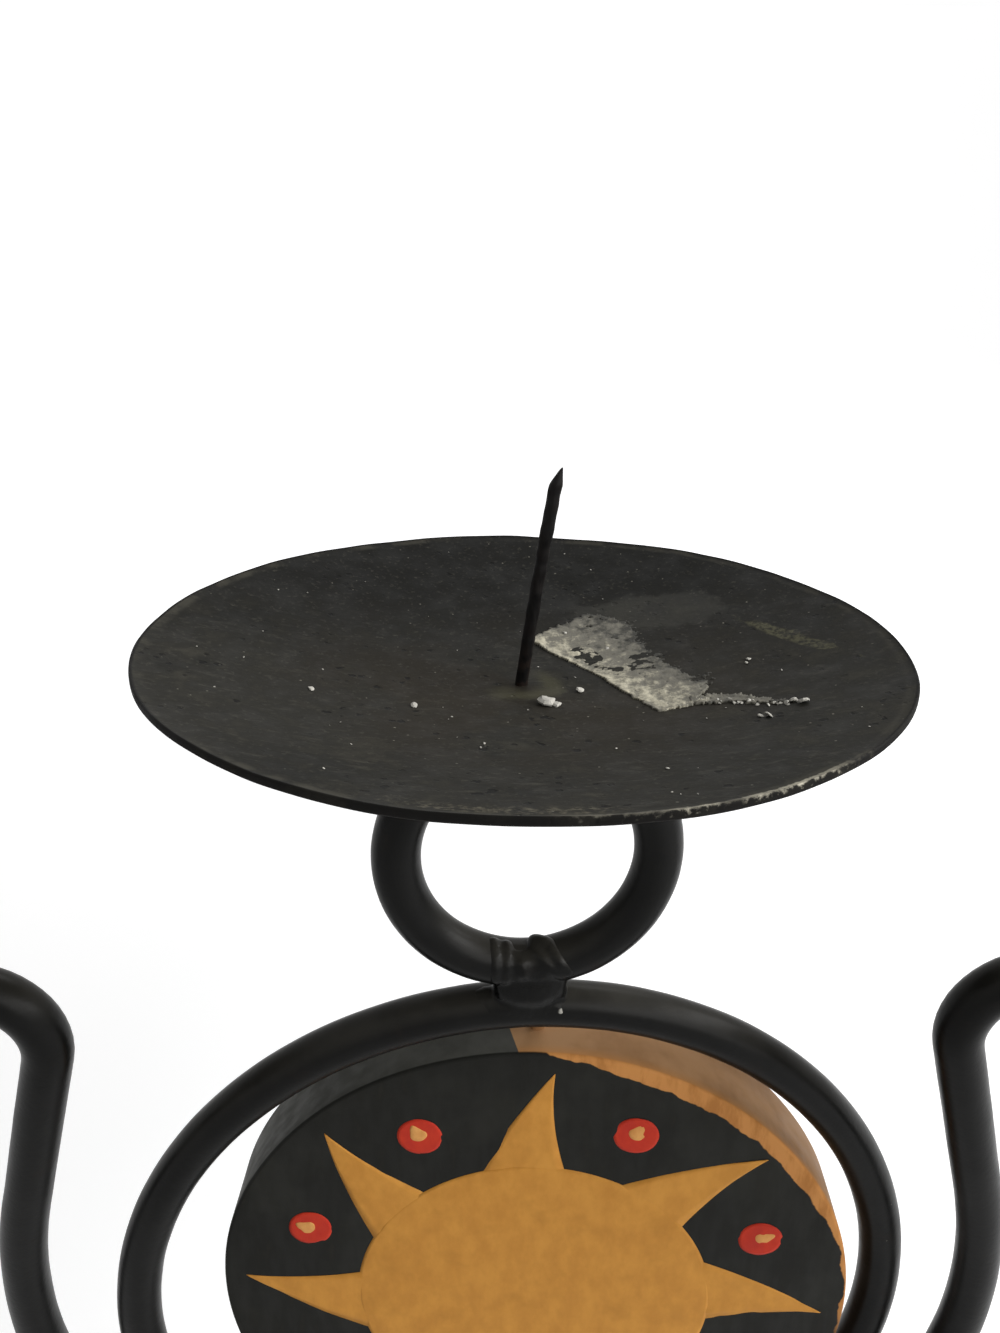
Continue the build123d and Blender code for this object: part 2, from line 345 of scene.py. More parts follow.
@dataclass(frozen=True)
class PlateIron(Finish):
    """Dull blackened sheet, mottled, pitted and stained, about the middle of one plate."""

    centre: Point = (0.0, 0.0, 0.0)
    tilt: Point = (0.0, 0.0, 0.0)
    seed: float = 0.0
    stained: bool = False
    dark: Colour = srgb(18, 18, 15)
    middle: Colour = srgb(34, 33, 29)
    light: Colour = srgb(68, 66, 59)
    brown: Colour = srgb(40, 35, 27)
    pit: Colour = srgb(8, 8, 7)
    soot_and_shade: Colour = srgb(14, 14, 12)
    speck: Colour = srgb(150, 146, 134)
    olive: Colour = srgb(84, 82, 64)
    haze: Colour = srgb(78, 77, 71)
    pale: Colour = srgb(132, 126, 108)
    wear_and_glint: Colour = srgb(205, 199, 180)
    edge: Colour = srgb(12, 11, 10)
    eaten: Sequence[tuple[Flat, Flat]] = (
        ((-25.5, 1.0), (5.0, 2.6)),
        ((-16.5, 1.5), (5.0, 3.0)),
        ((-14.0, 12.0), (4.5, 1.6)),
        ((-39.0, -8.0), (5.0, 4.0)),
    )
    gloss: ClassVar[float] = 0.08

    def paint(self, bench: PaintBench, shader: Node) -> None:
        """Wires the mottled ground with painted shade towards the back, the pits and specks, the black edge
        and the stains.

        Args:
            bench: The material's wiring.
            shader: The shader.
        """
        at = bench.spot(self.centre, self.tilt)
        x, y, z = bench.axes(at)
        r = bench.far(x, y)
        cloud = bench.grain(at, 26.0, 4.0, 0.6, self.seed)
        mottle = bench.grain(at, 5.0, 6.0, 0.62, self.seed + 3)
        blotch = bench.grain(at, 9.0, 5.0, 0.62, self.seed + 6)
        drag = bench.grain(bench.stretched(at, (0.35, 1.0, 1.0), 0.12), 1.5, 5.0, 0.6, self.seed + 5)
        fine = bench.grain(at, 0.8, 4.0, 0.65, self.seed + 8)
        gritty = bench.grain(at, 0.45, 3.0, 0.7, self.seed + 12)
        tone = bench.coat(self.dark, self.middle, bench.rise(cloud, 0.22, 0.56))
        tone = bench.coat(tone, self.light, bench.rise(mottle, 0.5, 0.72), 0.5)
        tone = bench.coat(tone, self.light, bench.rise(drag, 0.54, 0.74), 0.6)
        tone = bench.coat(tone, self.brown, bench.fall(cloud, 0.42, 0.62), bench.fall(r, 18.0, 46.0), 0.55)
        tone = bench.coat(tone, self.dark, bench.rise(blotch, 0.56, 0.7), 0.55)
        # Painted shade: the plate darkens towards its back.
        tone = bench.coat(tone, self.soot_and_shade, bench.rise(bench.plus(y, cloud), -8.0, 40.0, (0.0, 0.95)))
        tone = bench.coat(tone, self.light, bench.rise(fine, 0.54, 0.74), 0.6)
        tone = bench.coat(tone, self.pit, bench.rise(gritty, 0.55, 0.75), 0.5)
        pitted = bench.rise(blotch, 0.5, 0.58)
        for middle, radii in self.eaten if self.stained else ():
            patch = self.patch(bench, (x, y), middle, radii, 0.0, bench.offset(mottle, 4.0))
            pitted = bench.sum("MAXIMUM", pitted, patch)
        pits = bench.times(bench.spots(bench.stirred(at, 0.9, 0.7), 2.0, 0.34, 0.5), pitted)
        tone = bench.coat(tone, self.pit, pits, 0.85)
        specks = bench.spots(bench.stirred(at, 0.3, 0.12), 1.9, 0.1, 0.34)
        tone = bench.coat(tone, self.speck, specks, bench.rise(mottle, 0.35, 0.65, (0.1, 0.7)))
        rubbed = bench.rise(mottle, 0.42, 0.62, (0.0, 0.6))
        tone = bench.coat(tone, self.light, bench.rise(r, 53.2, 54.2), rubbed)
        blackened = bench.rise(mottle, 0.45, 0.7, (0.95, 0.75))
        tone = bench.coat(tone, self.edge, bench.rise(r, 54.8, 55.1), blackened)
        if self.stained:
            tone = self.stain(bench, tone, (x, y, z, r), mottle, fine)
        rough = bench.rise(mottle, 0.3, 0.7, (0.62, 0.8))
        height = bench.less(bench.plus(bench.times(fine, 0.5), mottle), pits)
        self.join(bench, shader, tone, rough, bench.relief(height, 0.09))

    def stain(
        self, bench: PaintBench, tone: Socket, where: Sequence[Socket], mottle: Socket, fine: Socket
    ) -> Socket:
        """Lays the old candle's stains and the rim's pale lip, partly wear and partly a painted highlight,
        over the ground.

        Args:
            bench: The material's wiring.
            tone: Colour so far.
            where: Distances from the plate's middle in millimetres: right, back, up and outward.
            mottle: Noise of a few millimetres.
            fine: Noise below a millimetre.

        Returns:
            The colour with the stains.
        """
        x, y, z, r = where
        ragged = bench.offset(mottle, 7.0)
        ring = bench.between(bench.plus(r, ragged), (1.5, 4.6), (5.0, 7.4))
        tone = bench.coat(tone, self.olive, ring, bench.rise(bench.less(x, y), -5.0, 3.0), 0.42)
        ghost = self.patch(bench, (x, y), (24.0, 24.0), (13.0, 6.5), -8.0, bench.times(ragged, 1.6))
        tone = bench.coat(tone, self.haze, ghost, bench.rise(mottle, 0.35, 0.7, (0.12, 0.5)))
        streak = self.patch(bench, (x, y), (43.0, 5.2), (10.5, 1.5), -62.0, bench.times(ragged, 0.7))
        torn = bench.rise(bench.plus(fine, bench.times(mottle, 0.6)), 0.66, 0.92, (0.05, 0.9))
        tone = bench.coat(tone, self.olive, streak, torn)
        band = bench.between(r, (50.2, 52.2), (53.2, 54.6))
        smear = bench.times(band, bench.between(x, (-26.0, -8.0), (-1.0, 9.0)), bench.fall(y, -46.0, -40.0))
        tone = bench.coat(tone, self.pale, smear, bench.rise(fine, 0.45, 0.7, (0.0, 0.55)))
        # Painted highlight, partly wear: a pale line along the front right of the lip.
        lip = bench.between(bench.plus(r, bench.offset(fine, 1.1)), (54.4, 54.7), (55.1, 55.4))
        lip = bench.times(lip, bench.fall(y, -48.0, -36.0), bench.rise(z, 7.5, 7.8))
        side = bench.between(x, (-4.0, 18.0), (24.0, 42.0))
        return bench.coat(tone, self.wear_and_glint, lip, side, bench.rise(mottle, 0.4, 0.62, (0.15, 0.95)))

    @staticmethod
    def patch(
        bench: PaintBench, at: tuple[Socket, Socket], middle: Flat, radii: Flat, turn: float, ragged: Socket
    ) -> Socket:
        """An oval stain with a ragged edge.

        Args:
            bench: The material's wiring.
            at: Distances to the right of the plate's middle and behind it, in millimetres.
            middle: The stain's middle.
            radii: Its half length and half width.
            turn: Turn of its length from the x axis, in degrees.
            ragged: Offset of the edge in millimetres.

        Returns:
            1 inside, 0 outside.
        """
        c, s = math.cos(math.radians(turn)), math.sin(math.radians(turn))
        dx, dy = bench.less(at[0], middle[0]), bench.less(at[1], middle[1])
        along = bench.plus(bench.times(dx, c), bench.times(dy, s))
        across = bench.less(bench.times(dy, c), bench.times(dx, s))
        reach = bench.far(bench.sum("DIVIDE", along, radii[0]), bench.sum("DIVIDE", across, radii[1]))
        return bench.fall(bench.plus(reach, bench.sum("DIVIDE", ragged, radii[1])), 0.75, 1.15)


@dataclass(frozen=True)
class NailIron(Finish):
    """Black nail with rust at its foot."""

    foot: Point = (0.0, 0.0, 0.0)
    dark: Colour = srgb(8, 7, 7)
    light: Colour = srgb(18, 17, 16)
    rust: Colour = srgb(34, 24, 18)

    def paint(self, bench: PaintBench, shader: Node) -> None:
        """Wires streaky black, and rust that thins out up the shank.

        Args:
            bench: The material's wiring.
            shader: The shader.
        """
        at = bench.spot(self.foot)
        streak = bench.grain(bench.stretched(at, (1.0, 1.0, 0.2)), 0.7, 4.0)
        mottle = bench.grain(at, 1.4, 4.0, 0.6, 3.0)
        low = bench.rise(bench.axes(at)[2], 0.5, 8.0, (0.75, 0.12))
        tone = bench.coat(self.dark, self.light, bench.rise(streak, 0.4, 0.7))
        tone = bench.coat(tone, self.rust, low, bench.rise(mottle, 0.4, 0.62))
        rough = bench.rise(mottle, 0.35, 0.65, (0.45, 0.7))
        self.join(bench, shader, tone, rough, bench.relief(streak, 0.06))


@dataclass(frozen=True)
class DiscPaint(Finish):
    """Hand-painted disc: black faces, a rim that is grey on one side and ochre on the other."""

    centre: Point = (0.0, 0.0, 0.0)
    turn: float = 0.0
    radius: float = 60.3
    half: float = 7.35
    black: Colour = srgb(23, 23, 20)
    soot_and_shade: Colour = srgb(32, 32, 28)
    rubbed: Colour = srgb(46, 43, 37)
    grey: tuple[Colour, Colour] = (srgb(76, 76, 71), srgb(62, 62, 57))
    dull: tuple[Colour, Colour] = (srgb(182, 140, 99), srgb(160, 119, 80))
    ochre: tuple[Colour, Colour] = (srgb(194, 134, 74), srgb(168, 112, 58))
    gloss: ClassVar[float] = 0.1

    def paint(self, bench: PaintBench, shader: Node) -> None:
        """Wires the faces, the two-tone rim and the ochre that runs over the edge onto the face.

        Args:
            bench: The material's wiring.
            shader: The shader.
        """
        at = bench.spot(self.centre, (0.0, 0.0, self.turn))
        x, y, z = bench.axes(at)
        brush = bench.grain(bench.stretched(at, (1.0, 1.0, 0.25)), 2.2, 5.0)
        cloud = bench.grain(at, 16.0, 4.0, 0.6, 4.0)
        fine = bench.grain(at, 0.7, 3.0, 0.6, 6.0)
        ragged = bench.offset(bench.grain(at, 5.0, 3.0, 0.5, 8.0), 3.0)
        # The face's cloudy, slightly lighter black is tone that varies at random, not shade.
        face = bench.coat(self.black, self.soot_and_shade, bench.rise(cloud, 0.42, 0.7))
        face = bench.coat(face, self.rubbed, bench.rise(brush, 0.56, 0.72), 0.25)
        ochre = bench.coat(*self.ochre, bench.rise(brush, 0.42, 0.66))
        dull = bench.coat(*self.dull, bench.rise(cloud, 0.4, 0.62))
        dull = bench.coat(dull, self.ochre[0], bench.rise(bench.plus(y, cloud), -4.0, -7.5, (0.0, 0.8)))
        grey = bench.coat(*self.grey, bench.rise(cloud, 0.4, 0.66))
        rim = bench.coat(grey, dull, bench.rise(bench.plus(x, bench.times(y, 0.275)), -5.2, -5.0))
        onto = bench.times(bench.rise(x, -3.0, 22.0), bench.rise(x, 44.0, 62.0, (1.0, 0.25)))
        inner = bench.less(self.radius, bench.times(onto, 3.4))
        over = bench.rise(bench.less(bench.plus(bench.far(x, z), ragged), inner), -0.1, 0.15)
        front = bench.sum("LESS_THAN", y, 0.0)
        face = bench.coat(face, ochre, over, bench.rise(z, -14.0, 4.0), bench.rise(x, -4.0, 0.0), front)
        flat = bench.rise(bench.sum("ABSOLUTE", y), self.half - 0.75, self.half - 0.35)
        rough = bench.rise(brush, 0.3, 0.7, (0.5, 0.68))
        height = bench.plus(bench.times(brush, 0.8), bench.times(fine, 0.2))
        self.join(bench, shader, bench.coat(rim, face, flat), rough, bench.relief(height, 0.05))


@dataclass(frozen=True)
class BrushPaint(Finish):
    """One brushed colour with streaks of a second."""

    first: Colour = srgb(187, 128, 52)
    second: Colour = srgb(206, 146, 66)
    streak: float = 3.2

    def paint(self, bench: PaintBench, shader: Node) -> None:
        """Wires two tones of paint, streaked by the brush.

        Args:
            bench: The material's wiring.
            shader: The shader.
        """
        at = bench.spot(Vector())
        brush = bench.grain(bench.stretched(at, (1.0, 1.0, 0.55)), self.streak, 5.0, 0.6)
        cloud = bench.grain(at, 7.0, 3.0, 0.5, 5.0)
        tone = bench.coat(self.first, self.second, bench.rise(brush, 0.25, 0.75))
        darker = tuple(0.8 * c for c in self.first[:3]) + (1.0,)
        tone = bench.coat(tone, darker, bench.rise(cloud, 0.5, 0.75), 0.5)
        self.join(bench, shader, tone, bench.rise(brush, 0.3, 0.7, (0.5, 0.65)), bench.relief(brush, 0.04))


@dataclass(frozen=True)
class CandleWax(Finish):
    """Old candle wax: a torn film that the iron shows through where it is thin, and white crumbs."""

    thin: Colour = srgb(52, 51, 46)
    film: Colour = srgb(112, 109, 99)
    thick: Colour = srgb(192, 186, 165)

    def paint(self, bench: PaintBench, shader: Node) -> None:
        """Wires the film's cover, which its mesh carries, with crackle and folds.

        Args:
            bench: The material's wiring.
            shader: The shader.
        """
        at = bench.spot(Vector())
        cover = bench.put("ShaderNodeAttribute", attribute_name="cover").outputs["Fac"]
        fold = bench.grain(bench.stretched(at, (1.0, 0.4, 1.0), 0.52), 1.5, 5.0, 0.65)
        patch = bench.grain(at, 3.6, 3.0, 0.6, 7.0)
        crackle = bench.grain(at, 0.5, 4.0, 0.7, 4.0)
        uneven = bench.plus(bench.times(fold, 2.2), bench.times(crackle, 2.0), patch, -1.6)
        much = bench.times(cover, uneven)
        tone = bench.coat(self.thin, self.film, bench.rise(much, 0.04, 0.34))
        tone = bench.coat(tone, self.thick, bench.rise(much, 0.36, 0.95))
        height = bench.plus(fold, bench.times(crackle, 0.5))
        self.join(bench, shader, tone, bench.rise(crackle, 0.3, 0.7, (0.5, 0.7)), bench.relief(height, 0.12))


@dataclass
class Piece:
    """A finished mesh, what it is made of and the frame's nodes that it stands for."""

    name: str
    mesh: Mesh
    finish: Finish
    slot: Optional[Slot] = None
    stands_for: Sequence[str] = ()


class Shapes:
    """Ways of making meshes that several sub-assemblies share."""

    @staticmethod
    def mesh(name: str, verts: Sequence[Sequence[float]], faces: Sequence[Sequence[int]]) -> Mesh:
        """Makes a smooth mesh whose faces point outwards.

        Args:
            name: Name of the mesh.
            verts: Points in metres.
            faces: Faces as numbers of points.

        Returns:
            The mesh.
        """
        made = bpy.data.meshes.new(name)
        made.from_pydata([tuple(v) for v in verts], [], [tuple(f) for f in faces])
        bm = bmesh.new()
        bm.from_mesh(made)
        bmesh.ops.recalc_face_normals(bm, faces=bm.faces)
        bm.to_mesh(made)
        bm.free()
        made.shade_smooth()
        return made

    @staticmethod
    def lathe(name: str, profile: Sequence[Flat], steps: int) -> Mesh:
        """Turns a profile about the Z axis.

        Args:
            name: Name of the mesh.
            profile: Radius and height from one pole to the other, in millimetres.
            steps: Number of steps round.

        Returns:
            The closed mesh, in metres.
        """
        verts, faces, rings = [], [], []
        for radius, height in profile:
            if radius < 1e-9:
                rings.append([len(verts)] * steps)
                verts.append((0.0, 0.0, height * MM))
                continue
            rings.append(list(range(len(verts), len(verts) + steps)))
            for k in range(steps):
                a = 2 * math.pi * k / steps
                verts.append((radius * math.cos(a) * MM, radius * math.sin(a) * MM, height * MM))
        for low, high in zip(rings, rings[1:]):
            for k in range(steps):
                n = (k + 1) % steps
                corners = list(dict.fromkeys((low[k], low[n], high[n], high[k])))
                if len(corners) > 2:
                    faces.append(corners)
        return Shapes.mesh(name, verts, faces)

    @staticmethod
    def tube(name: str, rows: Sequence[Sequence[Point]]) -> Mesh:
        """Skins rings of points that follow each other, and closes both ends.

        Args:
            name: Name of the mesh.
            rows: The rings, in millimetres, all with the same number of points.

        Returns:
            The closed mesh, in metres.
        """
        sides = len(rows[0])
        verts = [(x * MM, y * MM, z * MM) for row in rows for x, y, z in row]
        faces = [tuple(range(sides)), tuple(range(len(verts) - sides, len(verts)))]
        for low in range(0, len(verts) - sides, sides):
            for k in range(sides):
                n = (k + 1) % sides
                faces.append((low + k, low + n, low + sides + n, low + sides + k))
        return Shapes.mesh(name, verts, faces)

    @staticmethod
    def evaluated(host: bpy.types.Object) -> Mesh:
        """Turns a host object with its modifiers into a plain mesh, and removes the host.

        Args:
            host: The object; its own data goes too.

        Returns:
            The plain mesh.
        """
        graph = bpy.context.evaluated_depsgraph_get()
        made = bpy.data.meshes.new_from_object(host.evaluated_get(graph), depsgraph=graph)
        data = host.data
        bpy.data.objects.remove(host)
        bpy.data.meshes.remove(data)
        return made

    @staticmethod
    def host(name: str, data: bpy.types.ID) -> bpy.types.Object:
        """Puts a mesh, lamp or camera into the scene.

        Args:
            name: Name of the object.
            data: What it holds.

        Returns:
            The object.
        """
        made = bpy.data.objects.new(name, data)
        bpy.context.scene.collection.objects.link(made)
        return made

    @staticmethod
    def melt(name: str, sources: Sequence[Mesh], voxel: float, smooth: int) -> Mesh:
        """Melts overlapping closed meshes into one skin.

        Args:
            name: Name of the mesh.
            sources: The meshes, in metres; they are removed.
            voxel: Size of the skin's cells in millimetres.
            smooth: Number of smoothing passes.

        Returns:
            The melted mesh.
        """
        bm = bmesh.new()
        for source in sources:
            bm.from_mesh(source)
            bpy.data.meshes.remove(source)
        joined = bpy.data.meshes.new(name)
        bm.to_mesh(joined)
        bm.free()
        host = Shapes.host(name, joined)
        skin = host.modifiers.new("skin", "REMESH")
        skin.mode = "VOXEL"
        skin.voxel_size = voxel * MM
        skin.use_smooth_shade = True
        soften = host.modifiers.new("soften", "SMOOTH")
        soften.factor = 0.5
        soften.iterations = smooth
        made = Shapes.evaluated(host)
        made.shade_smooth()
        return made

    @staticmethod
    def blob(centre: Vector, radii: Sequence[float], rings: int = 3) -> Mesh:
        """An oval lump to be melted.

        Args:
            centre: Its middle, in millimetres.
            radii: Its half sizes, in millimetres.
            rings: How finely it is divided.

        Returns:
            The mesh, in metres.
        """
        bm = bmesh.new()
        place = Matrix.Translation(centre) @ Matrix.Diagonal((*radii, 1.0))
        bmesh.ops.create_icosphere(bm, subdivisions=rings, radius=1.0, matrix=Matrix.Scale(MM, 4) @ place)
        made = bpy.data.meshes.new("blob")
        bm.to_mesh(made)
        bm.free()
        return made

    @staticmethod
    def roughen(mesh: Mesh, depth: float, size: float, seed: float) -> Mesh:
        """Pushes points in and out along their normals by a steady noise.

        Args:
            mesh: The mesh to change.
            depth: Furthest push in millimetres.
            size: Size of a bump in millimetres.
            seed: Which of many such noises.

        Returns:
            The same mesh.
        """
        normals = [v.normal.copy() for v in mesh.vertices]
        shift = Vector((seed, 2 * seed, 3 * seed))
        for vert, normal in zip(mesh.vertices, normals):
            vert.co += normal * (depth * MM * noise.noise(vert.co / (size * MM) + shift))
        mesh.update()
        return mesh


class Tree:
    """A Geometry Nodes tree with named inputs, run on a host mesh."""

    title = "tree"
    own_inputs: tuple[tuple[str, str], ...] = ()
    shared_inputs = (
        ("Wander", "NodeSocketFloat"),
        ("Wander size", "NodeSocketFloat"),
        ("Seed", "NodeSocketFloat"),
        ("Material", "NodeSocketMaterial"),
    )

    def __init__(self) -> None:
        """Makes the tree with its sockets and wires it."""
        self.group = bpy.data.node_groups.new(self.title, "GeometryNodeTree")
        sockets = [("Geometry", "NodeSocketGeometry"), *self.own_inputs, *self.shared_inputs]
        for name, kind in sockets:
            self.group.interface.new_socket(name, in_out="INPUT", socket_type=kind)
        self.group.interface.new_socket("Geometry", in_out="OUTPUT", socket_type="NodeSocketGeometry")
        wiring = Wiring(self.group)
        given = wiring.put("NodeGroupInput").outputs
        shape = self.wander(wiring, self.wire(wiring, given), given)
        shape = wiring.put("GeometryNodeSetShadeSmooth", {"Geometry": shape}).outputs[0]
        shape = wiring.put("GeometryNodeRealizeInstances", {"Geometry": shape}).outputs[0]
        feeds = {"Geometry": shape, "Material": given["Material"]}
        wiring.put("NodeGroupOutput", {0: wiring.put("GeometryNodeSetMaterial", feeds).outputs[0]})

    def wire(self, wiring: Wiring, given: bpy.types.NodeOutputs) -> Socket:
        """Wires the shape itself; each kind of tree has its own."""
        raise NotImplementedError(self.title)

    def grow(self, name: str, host: Mesh, **values: object) -> Mesh:
        """Runs the tree on a host mesh.

        Args:
            name: Name of the result.
            host: Mesh that the tree starts from; it is removed.
            **values: Inputs, by name with underscores for spaces.

        Returns:
            The plain mesh.
        """
        carrier = Shapes.host(name, host)
        run = carrier.modifiers.new(self.title, "NODES")
        run.node_group = self.group
        wanted = {key.replace("_", " "): value for key, value in values.items()}
        for item in self.group.interface.items_tree:
            if item.item_type == "SOCKET" and item.in_out == "INPUT" and item.name in wanted:
                run[item.identifier] = wanted[item.name]
        made = Shapes.evaluated(carrier)
        made.name = name
        return made

    @staticmethod
    def wander(wiring: Wiring, shape: Socket, given: bpy.types.NodeOutputs) -> Socket:
        """Moves a shape's points by a steady noise, as a hand does.

        Args:
            wiring: The tree's wiring.
            shape: The shape.
            given: The tree's inputs Wander, Wander size and Seed.

        Returns:
            The moved shape.
        """
        scale = wiring.sum("DIVIDE", 1.0, given["Wander size"])
        where = wiring.put("GeometryNodeInputPosition").outputs[0]
        feeds = {"Vector": where, "W": given["Seed"], "Scale": scale, "Detail": 2.0}
        cloud = wiring.put("ShaderNodeTexNoise", feeds, noise_dimensions="4D").outputs["Color"]
        feeds = {"Geometry": shape, "Offset": wiring.push(cloud, given["Wander"])}
        return wiring.put("GeometryNodeSetPosition", feeds).outputs[0]


class BarTree(Tree):
    """Round bar swept along a line of edges; the line's girth attribute scales it."""

    title = "bar_along_line"
    own_inputs = (("Bar radius", "NodeSocketFloat"), ("Sides", "NodeSocketInt"))
    sides = 48
    end_round = 0.9
    stray, stray_size = 0.22, 11

    def wire(self, wiring: Wiring, given: bpy.types.NodeOutputs) -> Socket:
        """Wires line, section and sweep.

        Args:
            wiring: The tree's wiring.
            given: The tree's inputs.

        Returns:
            The bar.
        """
        line = wiring.put("GeometryNodeMeshToCurve", {"Mesh": given["Geometry"]}).outputs[0]
        feeds = {"Curve": line, "Radius": wiring.named("girth")}
        line = wiring.put("GeometryNodeSetCurveRadius", feeds).outputs[0]
        feeds = {"Resolution": given["Sides"], "Radius": given["Bar radius"]}
        section = wiring.put("GeometryNodeCurvePrimitiveCircle", feeds).outputs[0]
        feeds = {"Curve": line, "Profile Curve": section, "Fill Caps": True}
        return wiring.put("GeometryNodeCurveToMesh", feeds).outputs[0]

    def bar(
        self,
        name: str,
        path: Sequence[Vector],
        radius: float,
        finish: Finish,
        closed: bool = False,
        seed: float = 0.0,
    ) -> Mesh:
        """Makes one bar.

        Args:
            name: Name of the mesh.
            path: Points of its middle line, in millimetres.
            radius: Its radius in millimetres.
            finish: Its finish.
            closed: Whether the line joins up with its start.
            seed: Which wander it has.

        Returns:
            The bar's mesh.
        """
        line = bpy.data.meshes.new(name)
        count, ease = len(path), self.end_round
        edges = [(k, (k + 1) % count) for k in range(count if closed else count - 1)]
        line.from_pydata([tuple(p * MM) for p in path], edges, [])
        girth = line.attributes.new("girth", "FLOAT", "POINT")
        walked = [0.0]
        for start, end in zip(path, path[1:]):
            walked.append(walked[-1] + (end - start).length)
        for k, item in enumerate(girth.data):
            end = ease if closed else min(walked[k], walked[-1] - walked[k], ease)
            item.value = 1.0 - (ease / radius) * (1.0 - math.sqrt(1.0 - (1.0 - end / ease) ** 2))
        values = {"Wander": self.stray * MM, "Wander size": self.stray_size * MM, "Seed": seed}
        values |= {"Bar radius": radius * MM, "Sides": self.sides, "Material": finish.material()}
        return self.grow(name, line, **values)


class MarkTree(Tree):
    """Copies of one mark on points that carry its turn and size."""

    title = "marks_on_points"
    own_inputs = (("Mark", "NodeSocketObject"),)
    seed = 4.0

    def wire(self, wiring: Wiring, given: bpy.types.NodeOutputs) -> Socket:
        """Wires the mark onto the points.

        Args:
            wiring: The tree's wiring.
            given: The tree's inputs.

        Returns:
            The copies.
        """
        mark = wiring.put("GeometryNodeObjectInfo", {"Object": given["Mark"]}, transform_space="ORIGINAL")
        turn = wiring.named("turn", "FLOAT_VECTOR")
        turn = wiring.put("FunctionNodeEulerToRotation", {0: turn}).outputs[0]
        feeds = {"Points": given["Geometry"], "Instance": mark.outputs["Geometry"]}
        feeds |= {"Rotation": turn, "Scale": wiring.named("size")}
        copies = wiring.put("GeometryNodeInstanceOnPoints", feeds).outputs[0]
        return wiring.put("GeometryNodeRealizeInstances", {"Geometry": copies}).outputs[0]

    def marks(
        self,
        name: str,
        mark: Mesh,
        spots: Sequence[tuple[Vector, Vector, float]],
        finish: Finish,
        stray: Flat,
    ) -> Mesh:
        """Makes the copies.

        Args:
            name: Name of the mesh.
            mark: The mark, about the origin, in metres; it is removed.
            spots: Place in millimetres, turn in radians and size of each copy.
            finish: The marks' finish.
            stray: How far the hand strays and over what length, in millimetres.

        Returns:
            The mesh of all copies.
        """
        points = bpy.data.meshes.new(name)
        points.from_pydata([tuple(p * MM) for p, _, _ in spots], [], [])
        points.attributes.new("turn", "FLOAT_VECTOR", "POINT")
        points.attributes.new("size", "FLOAT", "POINT")
        for k, (_, angles, scale) in enumerate(spots):
            points.attributes["turn"].data[k].vector = angles
            points.attributes["size"].data[k].value = scale
        pattern = Shapes.host(name + "_pattern", mark)
        values = {"Wander": stray[0] * MM, "Wander size": stray[1] * MM, "Seed": self.seed}
        made = self.grow(name, points, Mark=pattern, Material=finish.material(), **values)
        bpy.data.objects.remove(pattern)
        bpy.data.meshes.remove(mark)
        return made


@dataclass
class SubAssembly:
    """A group of pieces that rides on one body."""

    body: Body = Body.STAND

    def build(self) -> list[Piece]:
        """Makes the meshes; each sub-assembly has its own."""
        raise NotImplementedError(type(self).__name__)

    def dress(self) -> list[bpy.types.Object]:
        """Puts the pieces into the scene with their finishes, on their body.

        Returns:
            The pieces' objects.
        """
        made = []
        for piece in self.build():
            obj = Shapes.host(piece.name, piece.mesh)
            piece.mesh.materials.clear()
            piece.mesh.materials.append(piece.finish.material())
            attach(obj, self.body.value)
            if piece.stands_for:
                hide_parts(*piece.stands_for)
            LOG.info("%s: %d faces, rides on %s", obj.name, len(piece.mesh.polygons), self.body.value)
            made.append(obj)
        return made


def node_middle(node: str) -> Vector:
    """Middle of a frame node's box, in millimetres."""
    low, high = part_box(node)
    return (low + high) / (2 * MM)


BLACK_BAR = BarPaint("black_bar_paint")
BLACK_WELD = BarPaint("black_weld_paint", rough=(0.26, 0.4), lumps=0.1, rust_share=0.25)


